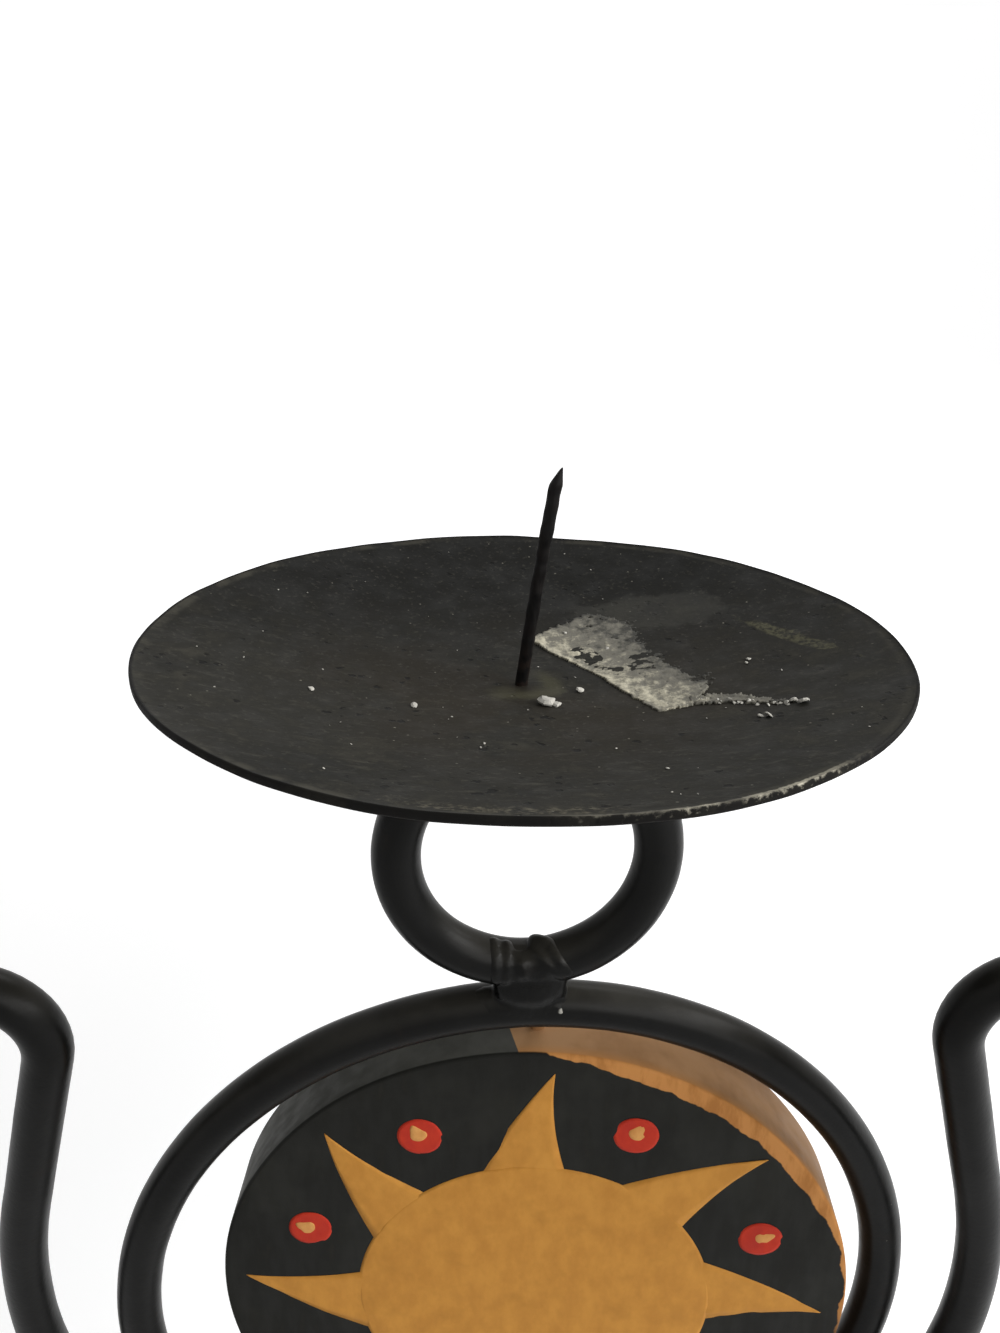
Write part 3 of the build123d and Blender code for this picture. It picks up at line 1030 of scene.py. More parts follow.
@dataclass
class DripPlate(SubAssembly):
    """A dished plate with its nail, and the weld under it."""

    place: Place = Place.CENTRE
    rim_r: float = 55.6
    depth: float = 8.5
    sheet: float = 1.2
    edge: float = 0.35
    tip_deg: float = 0.0
    roll_deg: float = 0.0
    lean_deg: float = 0.0
    nail_r: float = 1.0
    nail_rise: float = 33.3
    bevel: float = 2.9
    head_r: float = 2.5
    steps: int = 240
    seed: float = 0.0

    @cached_property
    def floor(self) -> Vector:
        """Middle of the plate's upper face, in millimetres.

        Returns:
            The point.
        """
        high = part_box(f"{self.place.value}_pricket_nail")[1]
        lean = math.radians(self.lean_deg)
        tip = Vector((math.sin(lean), 0.0, math.cos(lean))) * self.nail_rise
        plate = node_middle(f"{self.place.value}_drip_plate")
        return Vector((plate.x, plate.y, high.z / MM - tip.z))

    @cached_property
    def tilt(self) -> Matrix:
        """The plate's tilt about its middle."""
        tip = Matrix.Rotation(math.radians(self.tip_deg), 4, "X")
        return tip @ Matrix.Rotation(math.radians(self.roll_deg), 4, "Y")

    def dish(self, radius: float) -> float:
        """Height of the upper face above its middle, at a radius, in millimetres."""
        sphere = (self.rim_r**2 + self.depth**2) / (2 * self.depth)
        return sphere - math.sqrt(sphere**2 - radius**2)

    def on_plate(self, x: float, y: float, lift: float = 0.0) -> Vector:
        """A point on or above the upper face, in millimetres, from a place on the plate."""
        local = Vector((x, y, self.dish(min(math.hypot(x, y), self.rim_r)) + lift))
        return self.floor + self.tilt.to_3x3() @ local

    def build(self) -> list[Piece]:
        """Makes plate, nail and weld.

        Returns:
            The three pieces.
        """
        name, foot = self.place.value, tuple(self.floor * MM)
        tilt = (math.radians(self.tip_deg), math.radians(self.roll_deg), 0.0)
        iron = PlateIron(f"{name}_plate_iron", foot, tilt, self.seed, self.place is Place.CENTRE)
        nail_iron = NailIron(f"{name}_nail_iron", foot)
        return [
            Piece(f"{name}_plate", self.plate(), iron, Slot.PLATE, [f"{name}_drip_plate"]),
            Piece(f"{name}_nail", self.nail(), nail_iron, Slot.NAIL, [f"{name}_pricket_nail"]),
            Piece(f"{name}_puck", self.puck(), BLACK_WELD, Slot.WELD, [f"{name}_plate_weld"]),
        ]

    def plate(self) -> Mesh:
        """Turns the dish, eases its edges and leaves it a little uneven.

        Returns:
            The plate's mesh.
        """
        rows, edge = 44, self.edge
        radii = [(self.rim_r - edge) * (k / rows) ** 0.8 for k in range(rows + 1)]
        upper = [(r, self.dish(r)) for r in radii]
        rim = [
            (self.rim_r - edge * (1 - math.sin(a)), self.dish(self.rim_r) - edge * (1 - math.cos(a)))
            for a in (math.radians(d) for d in (15, 35, 55, 75, 90))
        ]
        lower = [(r, z - self.sheet) for r, z in reversed(upper)]
        under = [(r, 2 * self.dish(self.rim_r) - self.sheet - z) for r, z in reversed(rim)]
        mesh = Shapes.lathe(f"{self.place.value}_plate", upper + rim + under + lower, self.steps)
        shift = Vector((self.seed, 5.0, 2.0))
        for vert in mesh.vertices:
            x, y = vert.co.x / MM, vert.co.y / MM
            far = math.hypot(x, y) / self.rim_r
            dent = noise.noise(Vector((x, y, 0.0)) / 24.0 + shift) * 0.35 * far
            dent += noise.noise(Vector((x, y, 0.0)) / 7.0 + shift) * 0.10
            pinch = 1.0 - 0.0022 * (1.0 + noise.noise(Vector((x, y, 9.0)) / 18.0 + shift)) * far**8
            vert.co.x *= pinch
            vert.co.y *= pinch
            vert.co.z += (dent - 0.18 * far**6) * MM
        mesh.transform(Matrix.Translation(self.floor * MM) @ self.tilt)
        mesh.update()
        return mesh

    def nail(self) -> Mesh:
        """Draws the nail: head, uneven round shank, and a point that is cut slanting from one side.

        Returns:
            The nail's mesh.
        """
        sides, shank = 28, self.nail_rise - self.bevel
        levels = [(-2.8, self.head_r), (-1.9, self.head_r), (-1.8, 0.95)]
        levels += [(k * shank / 60, self.nail_r * 0.94) for k in range(61)]
        levels += [(shank + (self.bevel - 0.1) * k / 10, self.nail_r) for k in range(1, 11)]
        rows = []
        for z, radius in levels:
            cut = max(0.0, (z - shank) / self.bevel)
            left = max(0.06, (1.0 - cut) ** 0.7)
            shift = Vector((0.0, 0.0, z / 2.2 + 20 * self.seed))
            swell = 1.0 + 0.13 * noise.noise(shift * 0.4) + 0.06 * noise.noise(shift * 2.0)
            bow = 0.3 * math.sin(math.pi * max(0.0, z) / (1.25 * self.nail_rise))
            aside = radius * (1.0 - left) * 0.5 - bow
            row = []
            for k in range(sides):
                a = 2 * math.pi * k / sides
                c, s = math.cos(a), math.sin(a)
                corner = 1.0 - 0.75 * cut + 0.75 * cut * 0.8 / max(abs(c), abs(s))
                shape = radius * left * corner * (swell + 0.12 * noise.noise(shift + Vector((c, s, 0.0))))
                row.append((shape * c + aside, shape * s, z))
            rows.append(row)
        mesh = Shapes.tube(f"{self.place.value}_nail", rows)
        lean = Matrix.Rotation(math.radians(self.lean_deg), 4, "Y")
        mesh.transform(Matrix.Translation(self.floor * MM) @ lean)
        return mesh

    def puck(self) -> Mesh:
        """Melts the beads that hold the plate to its bar.

        Returns:
            The weld's mesh.
        """
        dice = random.Random(int(40 + self.seed))
        beads, far = 11, 5.0
        low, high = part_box(f"{self.place.value}_plate_weld")
        middle = (low + high) / (2 * MM)
        top = high.z / MM
        lumps = [Shapes.blob(Vector((middle.x, middle.y, top - 4.0)), (6.0, 6.0, 3.7))]
        for k in range(beads):
            a = 2 * math.pi * (k + dice.uniform(-0.25, 0.25)) / beads
            x, y = middle.x + far * math.cos(a), middle.y + far * math.sin(a)
            at = Vector((x, y, top - dice.uniform(3.2, 4.6)))
            radii = (dice.uniform(1.5, 2.0), dice.uniform(1.5, 2.0), dice.uniform(2.0, 2.9))
            lumps.append(Shapes.blob(at, radii))
        mesh = Shapes.melt(f"{self.place.value}_puck", lumps, 0.45, 4)
        return Shapes.roughen(mesh, 0.2, 1.6, self.seed)


@dataclass
class WaxLeavings(SubAssembly):
    """What candles left on the centre plate: a torn film, its tail and crumbs.

    Places are to the right of the plate's middle and behind it, in millimetres.
    """

    plate: DripPlate = field(default_factory=DripPlate)
    marks: Optional[MarkTree] = None
    cell: float = 0.26
    margin: float = 2.0
    torn: Sequence[Flat] = (
        (3, 17), (6, 20), (14, 26), (20, 21), (21, 11), (23, 4), (26, -4.6), (27.6, -2), (26.8, -6),
        (23, -13), (18, -14), (12, 2), (5, 13),
    )
    tail: Sequence[Flat] = ((23, -10), (29, -11), (34, -16), (36, -18), (33, -17), (28, -13.5), (23, -13))
    front_edge: tuple[Flat, Flat] = ((4.0, 16.0), (21.0, -14.0))
    knob: Flat = (24.5, -9.0)
    crumbs: Sequence[Point] = (
        (3, -8, 1.9), (4.2, -8.8, 1.0), (8.4, -3.6, 0.9), (-30.5, -7.3, 0.7), (-16, -10, 0.75),
        (31, -21.5, 0.8), (30, -21, 0.6), (36.5, -18.8, 1.2), (35.6, -17.4, 0.8), (34.7, 0.8, 0.5),
        (34, -0.5, 0.4), (9, 19, 0.5), (15, 12, 0.45), (-7, -24, 0.3), (14, -37, 0.35),
    )
    loose: int = 46
    trail: int = 26

    def build(self) -> list[Piece]:
        """Makes the films and the crumbs.

        Returns:
            The three pieces.
        """
        finish = CandleWax("candle_wax")
        return [
            Piece("wax_film", self.film("wax_film", self.torn, 1.0), finish),
            Piece("wax_tail", self.film("wax_tail", self.tail, 0.6), finish),
            Piece("wax_crumbs", self.scatter(), self.crumb_finish),
        ]

    @property
    def crumb_finish(self) -> CandleWax:
        """Finish of the crumbs, pale all over."""
        return CandleWax("wax_crumb", thin=srgb(186, 183, 174), film=srgb(204, 201, 190))

    @staticmethod
    def inside(x: float, y: float, outline: Sequence[Flat]) -> tuple[bool, float]:
        """Tells whether a place is in an outline, and how far from its edge.

        Args:
            x: Place to the right.
            y: Place to the back.
            outline: Corners of the outline.

        Returns:
            Whether it is inside, and the distance to the nearest edge.
        """
        within, near = False, 1e9
        for (ax, ay), (bx, by) in zip(outline, [*outline[1:], outline[0]]):
            if (ay > y) != (by > y) and x < (bx - ax) * (y - ay) / (by - ay) + ax:
                within = not within
            run = Vector((bx - ax, by - ay))
            t = max(0.0, min(1.0, (Vector((x - ax, y - ay)) @ run) / run.length_squared))
            near = min(near, math.hypot(x - ax - t * run.x, y - ay - t * run.y))
        return within, near

    def film(self, name: str, outline: Sequence[Flat], width: float) -> Mesh:
        """Lays a film of wax over a torn outline.

        Args:
            name: Name of the mesh.
            outline: Rough outline on the plate, in millimetres.
            width: Share by which its edge is frayed.

        Returns:
            A thin closed shell with its cover as an attribute.
        """
        xs, ys = [p[0] for p in outline], [p[1] for p in outline]
        left, front = min(xs) - self.margin, min(ys) - self.margin
        cols = int((max(xs) - min(xs) + 2 * self.margin) / self.cell)
        rows = int((max(ys) - min(ys) + 2 * self.margin) / self.cell)
        kept: dict[tuple[int, int], float] = {}
        for i in range(cols):
            for j in range(rows):
                x, y = left + i * self.cell, front + j * self.cell
                brow = self.brow(x, y) if width == 1.0 else 0.3
                fray = noise.fractal(Vector((x, y, 3.0)) / 1.4, 0.6, 2.0, 5) * width * (1.5 - 1.3 * brow)
                hole = noise.fractal(Vector((x, y, 8.0)) / 1.7, 0.6, 2.0, 4)
                within, near = self.inside(x, y, outline)
                depth = (near if within else -near) + fray
                if depth > 0 and hole < 0.7 + 0.5 * brow:
                    kept[i, j] = depth
        bm = bmesh.new()
        cover = bm.verts.layers.float.new("cover")
        tops: dict[tuple[int, int], tuple[bmesh.types.BMVert, bmesh.types.BMVert]] = {}

        def corner(i: int, j: int) -> tuple[bmesh.types.BMVert, bmesh.types.BMVert]:
            """Makes the points at one corner of the grid on first use.

            Args:
                i: Column.
                j: Row.

            Returns:
                The upper and the lower point.
            """
            if (i, j) not in tops:
                x, y = left + (i - 0.5) * self.cell, front + (j - 0.5) * self.cell
                x += 0.3 * self.cell * noise.noise(Vector((x, y, 1.0)) / 0.7)
                y += 0.3 * self.cell * noise.noise(Vector((x, y, 5.0)) / 0.7)
                depth = max(kept.get(k, 0.0) for k in ((i, j), (i - 1, j), (i, j - 1), (i - 1, j - 1)))
                wrinkle = noise.fractal(Vector((x, y, 0.0)) / 1.8, 0.8, 2.0, 4)
                brow = self.brow(x, y) if width == 1.0 else 0.5
                knob = math.exp(-((x - self.knob[0]) ** 2 + (y - self.knob[1]) ** 2) / 14.0)
                crease = max(0.0, wrinkle) * (0.25 + 0.75 * brow)
                lift = 0.04 + 0.22 * crease + 0.26 * brow * math.exp(-depth / 1.0) + 0.2 * knob
                fade = brow + (1.0 - brow) * min(1.0, depth / 2.5)
                upper = bm.verts.new(self.plate.on_plate(x, y, lift) * MM)
                much = 0.24 + 0.46 * brow**1.5 + 0.3 * wrinkle + 0.2 * knob
                upper[cover] = max(0.0, min(1.0, much * fade))
                lower = bm.verts.new(self.plate.on_plate(x, y, -0.25) * MM)
                lower[cover] = upper[cover]
                tops[i, j] = (upper, lower)
            return tops[i, j]

        for i, j in kept:
            ring = [corner(i, j), corner(i + 1, j), corner(i + 1, j + 1), corner(i, j + 1)]
            bm.faces.new([pair[0] for pair in ring])
            bm.faces.new([pair[1] for pair in reversed(ring)])
            for k, cell in enumerate(((i, j - 1), (i + 1, j), (i, j + 1), (i - 1, j))):
                if cell not in kept:
                    first, second = ring[k], ring[(k + 1) % 4]
                    bm.faces.new((first[0], first[1], second[1], second[0]))
        bmesh.ops.recalc_face_normals(bm, faces=bm.faces)
        made = bpy.data.meshes.new(name)
        bm.to_mesh(made)
        bm.free()
        made.shade_smooth()
        return made

    def brow(self, x: float, y: float) -> float:
        """Thickness of the film, most along its long front edge.

        Args:
            x: Place to the right on the plate.
            y: Place to the back.

        Returns:
            1 at the front edge, falling to 0 at the torn back edge.
        """
        start, end = Vector(self.front_edge[0]), Vector(self.front_edge[1])
        run = (end - start).normalized()
        across = abs((Vector((x, y)) - start).dot(Vector((-run.y, run.x))))
        return max(0.0, 1.0 - across / 11.0) ** 0.8

    def scatter(self) -> Mesh:
        """Scatters crumbs: the larger ones at their places, loose ones anywhere, and a trail along the tail.

        Returns:
            The mesh of all crumbs.
        """
        dice = random.Random(11)
        spots = []
        for x, y, size in self.crumbs:
            spots.append((self.plate.on_plate(x, y, 0.25 * size), self.tumble(dice), size))
        for _ in range(self.loose):
            a, r = dice.uniform(0, 2 * math.pi), 52 * math.sqrt(dice.uniform(0.01, 1.0))
            size = dice.uniform(0.1, 0.24)
            at = self.plate.on_plate(r * math.cos(a), r * math.sin(a), 0.2 * size)
            spots.append((at, self.tumble(dice), size))
        for k in range(self.trail):
            x, y = 24 + 12 * k / self.trail, -11.5 - 7 * k / self.trail
            size = dice.uniform(0.2, 0.5)
            at = self.plate.on_plate(x + dice.uniform(-0.9, 0.9), y + dice.uniform(-0.9, 0.9), 0.2 * size)
            spots.append((at, self.tumble(dice), size))
        made = self.marks.marks("wax_crumbs", self.flake(), spots, self.crumb_finish, (0.5, 0.8))
        made.shade_flat()
        return made

    @staticmethod
    def flake() -> Mesh:
        """A jagged flake of wax, to be copied.

        Returns:
            The mesh about the origin.
        """
        dice = random.Random(3)
        sides = 11
        corners = []
        for k in range(sides):
            corners.append((dice.uniform(0.52, 0.85), 2 * math.pi * (k + dice.uniform(-0.3, 0.3)) / sides))
        rows = []
        for share, height in ((0.9, -0.14), (1.0, 0.04), (0.62, 0.2)):
            row = []
            for reach, a in corners:
                lift = dice.uniform(-0.04, 0.06)
                row.append((share * reach * math.cos(a), share * reach * math.sin(a), height + lift))
            rows.append(row)
        return Shapes.tube("flake", rows)

    @staticmethod
    def tumble(dice: random.Random) -> Vector:
        """A crumb's turn."""
        return Vector((dice.uniform(-0.5, 0.5), dice.uniform(-0.5, 0.5), dice.uniform(0, 6.28)))


@dataclass
class BarWork(SubAssembly):
    """Rings, arm bar and post of round bar."""

    tree: Optional[BarTree] = None
    bar_r: float = 4.0
    post_r: float = 5.0
    flank_r: float = 110.0
    flank_leg: float = 35.4
    flare_deg: float = 16.1
    shoulder_r: float = 11.8
    cradle_r: float = 88.2
    reach: float = 156.0
    off_axis: float = -1.3
    lean_deg: float = 3.9
    turn_deg: float = -3.0

    def build(self) -> list[Piece]:
        """Makes the two rings, the arm bar and the post.

        Returns:
            The four pieces.
        """
        parts = [
            ("big_ring", self.ring("disc_ring", 320), True, self.bar_r, "disc_ring"),
            ("neck_loop", self.ring("neck_ring", 200), True, self.bar_r, "neck_ring"),
            ("arm", self.arm(), False, self.bar_r, "arm_bar"),
            ("stem", self.stem(), False, self.post_r, "post"),
        ]
        made = []
        for k, (name, path, closed, radius, node) in enumerate(parts):
            mesh = self.tree.bar(name, path, radius, BLACK_BAR, closed, seed=k + 1.0)
            made.append(Piece(name, mesh, BLACK_BAR, Slot.BAR, [node]))
        return made

    def ring(self, node: str, count: int) -> list[Vector]:
        """Middle line of an upright ring.

        Args:
            node: The frame's node.
            count: Number of points.

        Returns:
            The points, in millimetres.
        """
        low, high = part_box(node)
        middle = (low + high) / (2 * MM)
        radius = (high.x - low.x) / (2 * MM) - self.bar_r
        angles = [2 * math.pi * k / count for k in range(count)]
        return [middle + radius * Vector((math.sin(a), 0.0, -math.cos(a))) for a in angles]

    @staticmethod
    def bend(middle: Flat, radius: float, start: float, end: float) -> list[Vector]:
        """Points of an arc in the bar's own upright plane.

        Args:
            middle: Its middle, to the right and up, in millimetres.
            radius: Its radius in millimetres.
            start: Where it starts, in degrees from the right, upwards.
            end: Where it ends.

        Returns:
            The points.
        """
        count = max(4, int(abs(end - start) * math.pi / 180 * radius / 1.5))
        angles = [math.radians(start + (end - start) * k / count) for k in range(count + 1)]
        x, z = middle
        return [Vector((x + radius * math.cos(a), 0.0, z + radius * math.sin(a))) for a in angles]

    @staticmethod
    def straight(start: Vector, end: Vector, pitch: float = 1.5) -> list[Vector]:
        """Points of a straight run, without its ends."""
        count = max(2, int((end - start).length / pitch))
        return [start.lerp(end, k / count) for k in range(1, count)]

    @staticmethod
    def eased(start: Vector, toward: Vector) -> list[Vector]:
        """A few close points at a bar's end, so that the end can be rounded."""
        step = (toward - start).normalized()
        return [start + step * d for d in (0.0, 0.04, 0.12, 0.26, 0.5, 0.9)]

    def arm(self) -> list[Vector]:
        """Middle line of the arm bar, from the left end to the right.

        Returns:
            The points, in millimetres.
        """
        a = math.radians(self.flare_deg)
        flank = (self.cradle_r - self.flank_r, self.cradle_r)
        top = (flank[0] + self.flank_r * math.cos(a), flank[1] + self.flank_r * math.sin(a))
        leg = (top[0] - self.flank_leg * math.sin(a), top[1] + self.flank_leg * math.cos(a))
        shoulder = (leg[0] + self.shoulder_r * math.cos(a), leg[1] + self.shoulder_r * math.sin(a))
        half = self.bend((0.0, self.cradle_r), self.cradle_r, 270, 360)
        half += self.bend(flank, self.flank_r, 0, self.flare_deg)[1:]
        half += self.straight(half[-1], Vector((leg[0], 0.0, leg[1])))
        half += self.bend(shoulder, self.shoulder_r, 180 + self.flare_deg, 90)
        tips = self.eased(Vector((self.reach, 0.0, half[-1].z)), half[-1])
        half += self.straight(half[-1], tips[-1]) + tips[::-1]
        mirrored = [Vector((-p.x, p.y, p.z)) for p in half]
        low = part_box("arm_bar")[0].z / MM
        place = Matrix.Translation((self.off_axis, 0.0, low + self.bar_r))
        place = place @ Matrix.Rotation(math.radians(self.turn_deg), 4, "Z")
        place = place @ Matrix.Rotation(math.radians(self.lean_deg), 4, "X")
        return [place @ p for p in mirrored[:0:-1] + half]

    def stem(self) -> list[Vector]:
        """Middle line of the post.

        Returns:
            The points, in millimetres.
        """
        low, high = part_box("post")
        bottom, top = Vector((0.0, 0.0, low.z / MM)), Vector((0.0, 0.0, high.z / MM))
        start, end = self.eased(bottom, top), self.eased(top, bottom)
        return start + self.straight(start[-1], end[-1]) + end[::-1]


@dataclass
class Legs(SubAssembly):
    """Four bent legs with flattened feet."""

    tree: Optional[BarTree] = None
    bar_r: float = 4.0
    root: float = 9.2
    bend_r: float = 34.0
    turn_deg: float = 62.0
    shin: float = 75.0
    foot_bend_r: float = 30.0
    foot_run: float = 6.0
    foot_r: float = 9.0
    foot_t: float = 3.0
    pressed: float = 13.0
    lap: float = 28.0
    places: Sequence[tuple[str, float]] = (
        ("front_left_leg", 215.0),
        ("front_right_leg", -35.0),
        ("rear_left_leg", 145.0),
        ("rear_right_leg", 35.0),
    )

    def build(self) -> list[Piece]:
        """Makes the legs, each bent a little differently by hand.

        Returns:
            The four pieces.
        """
        made = []
        for k, (node, azimuth) in enumerate(self.places):
            name = node.replace("_leg", "_foot_bar")
            mesh = self.leg(name, k)
            mesh.transform(Matrix.Rotation(math.radians(azimuth), 4, "Z"))
            Shapes.roughen(mesh, 0.12, 6.0, k + 1.0)
            for vert in mesh.vertices:
                vert.co.z = max(0.0, vert.co.z)
            made.append(Piece(name, mesh, BLACK_BAR, Slot.BAR, [node]))
        return made

    def leg(self, name: str, k: int) -> Mesh:
        """Bends one leg in the plane to the right of the post, and melts its foot onto it.

        Args:
            name: Name of the mesh.
            k: Number of the leg.

        Returns:
            The leg's mesh, its toe pressed flat into the foot.
        """
        turn = self.turn_deg
        out, down = math.sin(math.radians(turn)), math.cos(math.radians(turn))
        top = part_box("front_right_leg")[1].z / MM
        bend = (self.root + self.bend_r, top - self.lap)
        line = BarWork.eased(Vector((self.root, 0.0, top)), Vector((self.root, 0.0, bend[1])))
        line += BarWork.straight(line[-1], Vector((self.root, 0.0, bend[1])))
        line += BarWork.bend(bend, self.bend_r, 180, 180 + turn)
        ankle = line[-1] + Vector((out, 0.0, -down)) * self.shin
        line += BarWork.straight(line[-1], ankle)
        toe_bend = (ankle.x + self.foot_bend_r * down, ankle.z + self.foot_bend_r * out)
        line += BarWork.bend(toe_bend, self.foot_bend_r, 180 + turn, 270)
        toe = Vector((toe_bend[0] + self.foot_run, 0.0, self.bar_r))
        tips = BarWork.eased(toe, line[-1])
        line += BarWork.straight(line[-1], tips[-1]) + tips[::-1]
        bar = self.tree.bar(name, line, self.bar_r, BLACK_BAR, seed=10.0 + k)
        for vert in bar.vertices:
            near = max(0.0, min(1.0, (vert.co.x / MM - toe.x + self.pressed) / self.pressed))
            flat = near * near * (3.0 - 2.0 * near)
            vert.co.z *= 1.0 - 0.6 * flat
            vert.co.y *= 1.0 + 0.4 * flat
        r, t = self.foot_r, self.foot_t
        crown = [(r * c, t * (1.0 + 0.16 * (1 - c * c))) for c in (0.0, 0.3, 0.55, 0.75)]
        rim = [(r - 1.0 + math.cos(a), t - 1.0 + math.sin(a)) for a in (1.57, 1.1, 0.7, 0.3, 0.0)]
        foot = Shapes.lathe("foot", [(0.0, 0.0), (r * 0.6, 0.0), (r, 0.0)] + rim[::-1] + crown[::-1], 64)
        foot.transform(Matrix.Translation((toe.x * MM, 0.0, 0.0)))
        return Shapes.melt(name, [bar, foot], 0.55, 5)


@dataclass
class Welds(SubAssembly):
    """Beads of weld metal that hold bars, post and pins together."""

    bar_r: float = 4.0
    pin_r: float = 1.5
    pin_gap: float = 0.2
    daub_rise: float = 2.2
    collar_runs: int = 13
    skirt_lumps: int = 11
    skirt_radii: Point = (1.5, 2.4, 4.2)
    saddle_runs: int = 11
    saddle_half: float = 7.0
    patch_lumps: int = 9
    cradle_beads: int = 12
    cradle_half: float = 7.0
    # The neck weld's chip: along the big ring's bar, degrees round it, and out from its middle line.
    chip_at: Point = (6.6, 72.0, 4.1)
    # Ridges of the neck weld: start, end and number of lumps, as Welds.run takes them.
    ridges: Sequence[tuple[Sequence[float], Sequence[float], int]] = (
        ((-7.0, 6.0, -0.75, 1.3), (-5.2, 112.0, -0.85, 1.3), 13),
        ((-4.3, 8.0, -0.65, 1.2), (-3.7, 108.0, -0.8, 1.2), 13),
        ((1.0, 14.0, -0.55, 1.2), (5.3, 104.0, -0.7, 1.2), 13),
        ((4.2, 8.0, -0.6, 1.2), (6.5, 106.0, -0.75, 1.2), 13),
        ((-1.3, 58.0, -0.75, 1.5), (-0.9, 80.0, -0.85, 1.5), 5),
        ((1.7, -6.0, -0.5, 1.6), (3.5, 6.0, -0.5, 1.5), 5),
    )
    # Lumps that hold a pin: to the right, in from its outer end, and half size.
    pin_lumps: Sequence[Point] = ((-1.0, 2.6, 1.7), (1.0, 2.8, 1.6), (0.2, 2.0, 1.9), (0.0, 4.2, 1.5))

    def build(self) -> list[Piece]:
        """Makes the groups of beads and the pins.

        Returns:
            The six pieces.
        """
        chipped = replace(BLACK_WELD, name="neck_weld_paint", chip=self.chip)
        made = [
            Piece("neck_beads", self.neck(), chipped, Slot.WELD, ["neck_weld"]),
            Piece("cradle_beads", self.cradle(), BLACK_WELD, Slot.WELD, ["cradle_weld"]),
            Piece("post_beads", self.collar("post_weld", 5.2, 2.9, 10), BLACK_WELD, Slot.WELD, ["post_weld"]),
            Piece("leg_beads", self.collar("leg_weld", 9.0, 4.4, 14), BLACK_WELD, Slot.WELD, ["leg_weld"]),
        ]
        feet = {"upper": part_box("sun_disc")[1].z / MM + self.daub_rise, "lower": 0.0}
        for side, foot in feet.items():
            mesh = self.pin(f"{side}_pivot_pin", 1 if side == "upper" else -1)
            paint = replace(BLACK_WELD, name=f"{side}_pin_paint", daubed=foot)
            made.append(Piece(f"{side}_pin", mesh, paint, Slot.BAR, [f"{side}_pivot_pin"]))
        return made

    def ring_of(self, node: str) -> tuple[Vector, float]:
        """Middle of a ring and radius of its middle line, in millimetres."""
        low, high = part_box(node)
        return (low + high) / (2 * MM), (high.x - low.x) / (2 * MM) - self.bar_r

    def run(
        self, ring: tuple[Vector, float], start: Sequence[float], end: Sequence[float], count: int = 13
    ) -> list[Mesh]:
        """A run of weld laid over a ring's bar, near where the two rings meet.

        Args:
            ring: Middle and radius of the ring; the radius is negative for the ring below.
            start: Where it starts: millimetres along the bar, degrees round it from its upper side to
                the front, height of the run's middle line over the bar and its half width.
            end: Where it ends, in the same way.
            count: Number of lumps.

        Returns:
            Lumps to be melted.
        """
        middle, radius = ring
        made = []
        for k in range(count):
            along, round_bar, above, fat = Vector(start).lerp(Vector(end), k / (count - 1))
            a, b = along / radius, math.radians(round_bar)
            up = Vector((-math.sin(a), 0.0, math.cos(a)))
            out = up * math.cos(b) + Vector((0.0, -1.0, 0.0)) * math.sin(b)
            at = middle - up * radius + out * (self.bar_r + above)
            made.append(Shapes.blob(at, (fat, fat, fat), rings=2))
        return made

    def neck(self) -> Mesh:
        """Melts the weld between the two rings: a collar, a skirt, a saddle, ridges and a rough patch.

        Returns:
            The weld's mesh.
        """
        loop = self.ring_of("neck_ring")
        below, wide = self.ring_of("disc_ring")
        big = (below, -wide)
        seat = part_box("neck_ring")[0].z / MM
        dice = random.Random(8)
        lumps = []
        for k in range(self.collar_runs):
            t = k / (self.collar_runs - 1)
            top = 8.0 if t < 0.3 or t > 0.62 else 34.0
            lumps += self.run(loop, (-6.8 + 11.2 * t, top, -1.1, 1.4), (-4.4 + 10.2 * t, 140.0, -1.35, 1.4))
        for k in range(self.skirt_lumps):
            t = k / (self.skirt_lumps - 1)
            x = loop[0].x - 4.3 + 9.4 * t
            ease = (2.0 * abs(t - 0.5)) ** 2
            at = Vector((x, -2.1 + 0.9 * ease, seat + 0.9 * ease))
            lumps.append(Shapes.blob(at, self.skirt_radii))
        half = self.saddle_half
        for k in range(self.saddle_runs):
            along = -half + 2 * half * k / (self.saddle_runs - 1)
            fall = 0.55 * (along / half) ** 2
            lumps += self.run(big, (along, 10.0, -0.75 - fall, 1.5), (0.85 * along, 104.0, -1.55, 1.5), 17)
        for start, end, count in self.ridges:
            lumps += self.run(loop, start, end, count)
        for _ in range(self.patch_lumps):
            along, round_bar, fat = dice.uniform(4.4, 6.6), dice.uniform(34.0, 64.0), dice.uniform(0.6, 0.9)
            lumps += self.run(big, (along, round_bar, -0.5, fat), (along + 0.3, round_bar, -0.5, fat), 2)
        lumps += self.run(big, (6.3, 70.0, -0.5, 0.7), (6.8, 74.0, -0.5, 0.6), 3)
        return Shapes.roughen(Shapes.melt("neck_beads", lumps, 0.28, 14), 0.08, 1.5, 3.0)

    @property
    def chip(self) -> Point:
        """Where the neck weld's paint is chipped at its right end.

        Returns:
            The place, in millimetres.
        """
        middle, wide = self.ring_of("disc_ring")
        along, round_bar, far = self.chip_at
        a, b = along / wide, math.radians(round_bar)
        up = Vector((math.sin(a), 0.0, math.cos(a)))
        return tuple(middle + up * (wide + far * math.cos(b)) - Vector((0.0, far * math.sin(b), 0.0)))

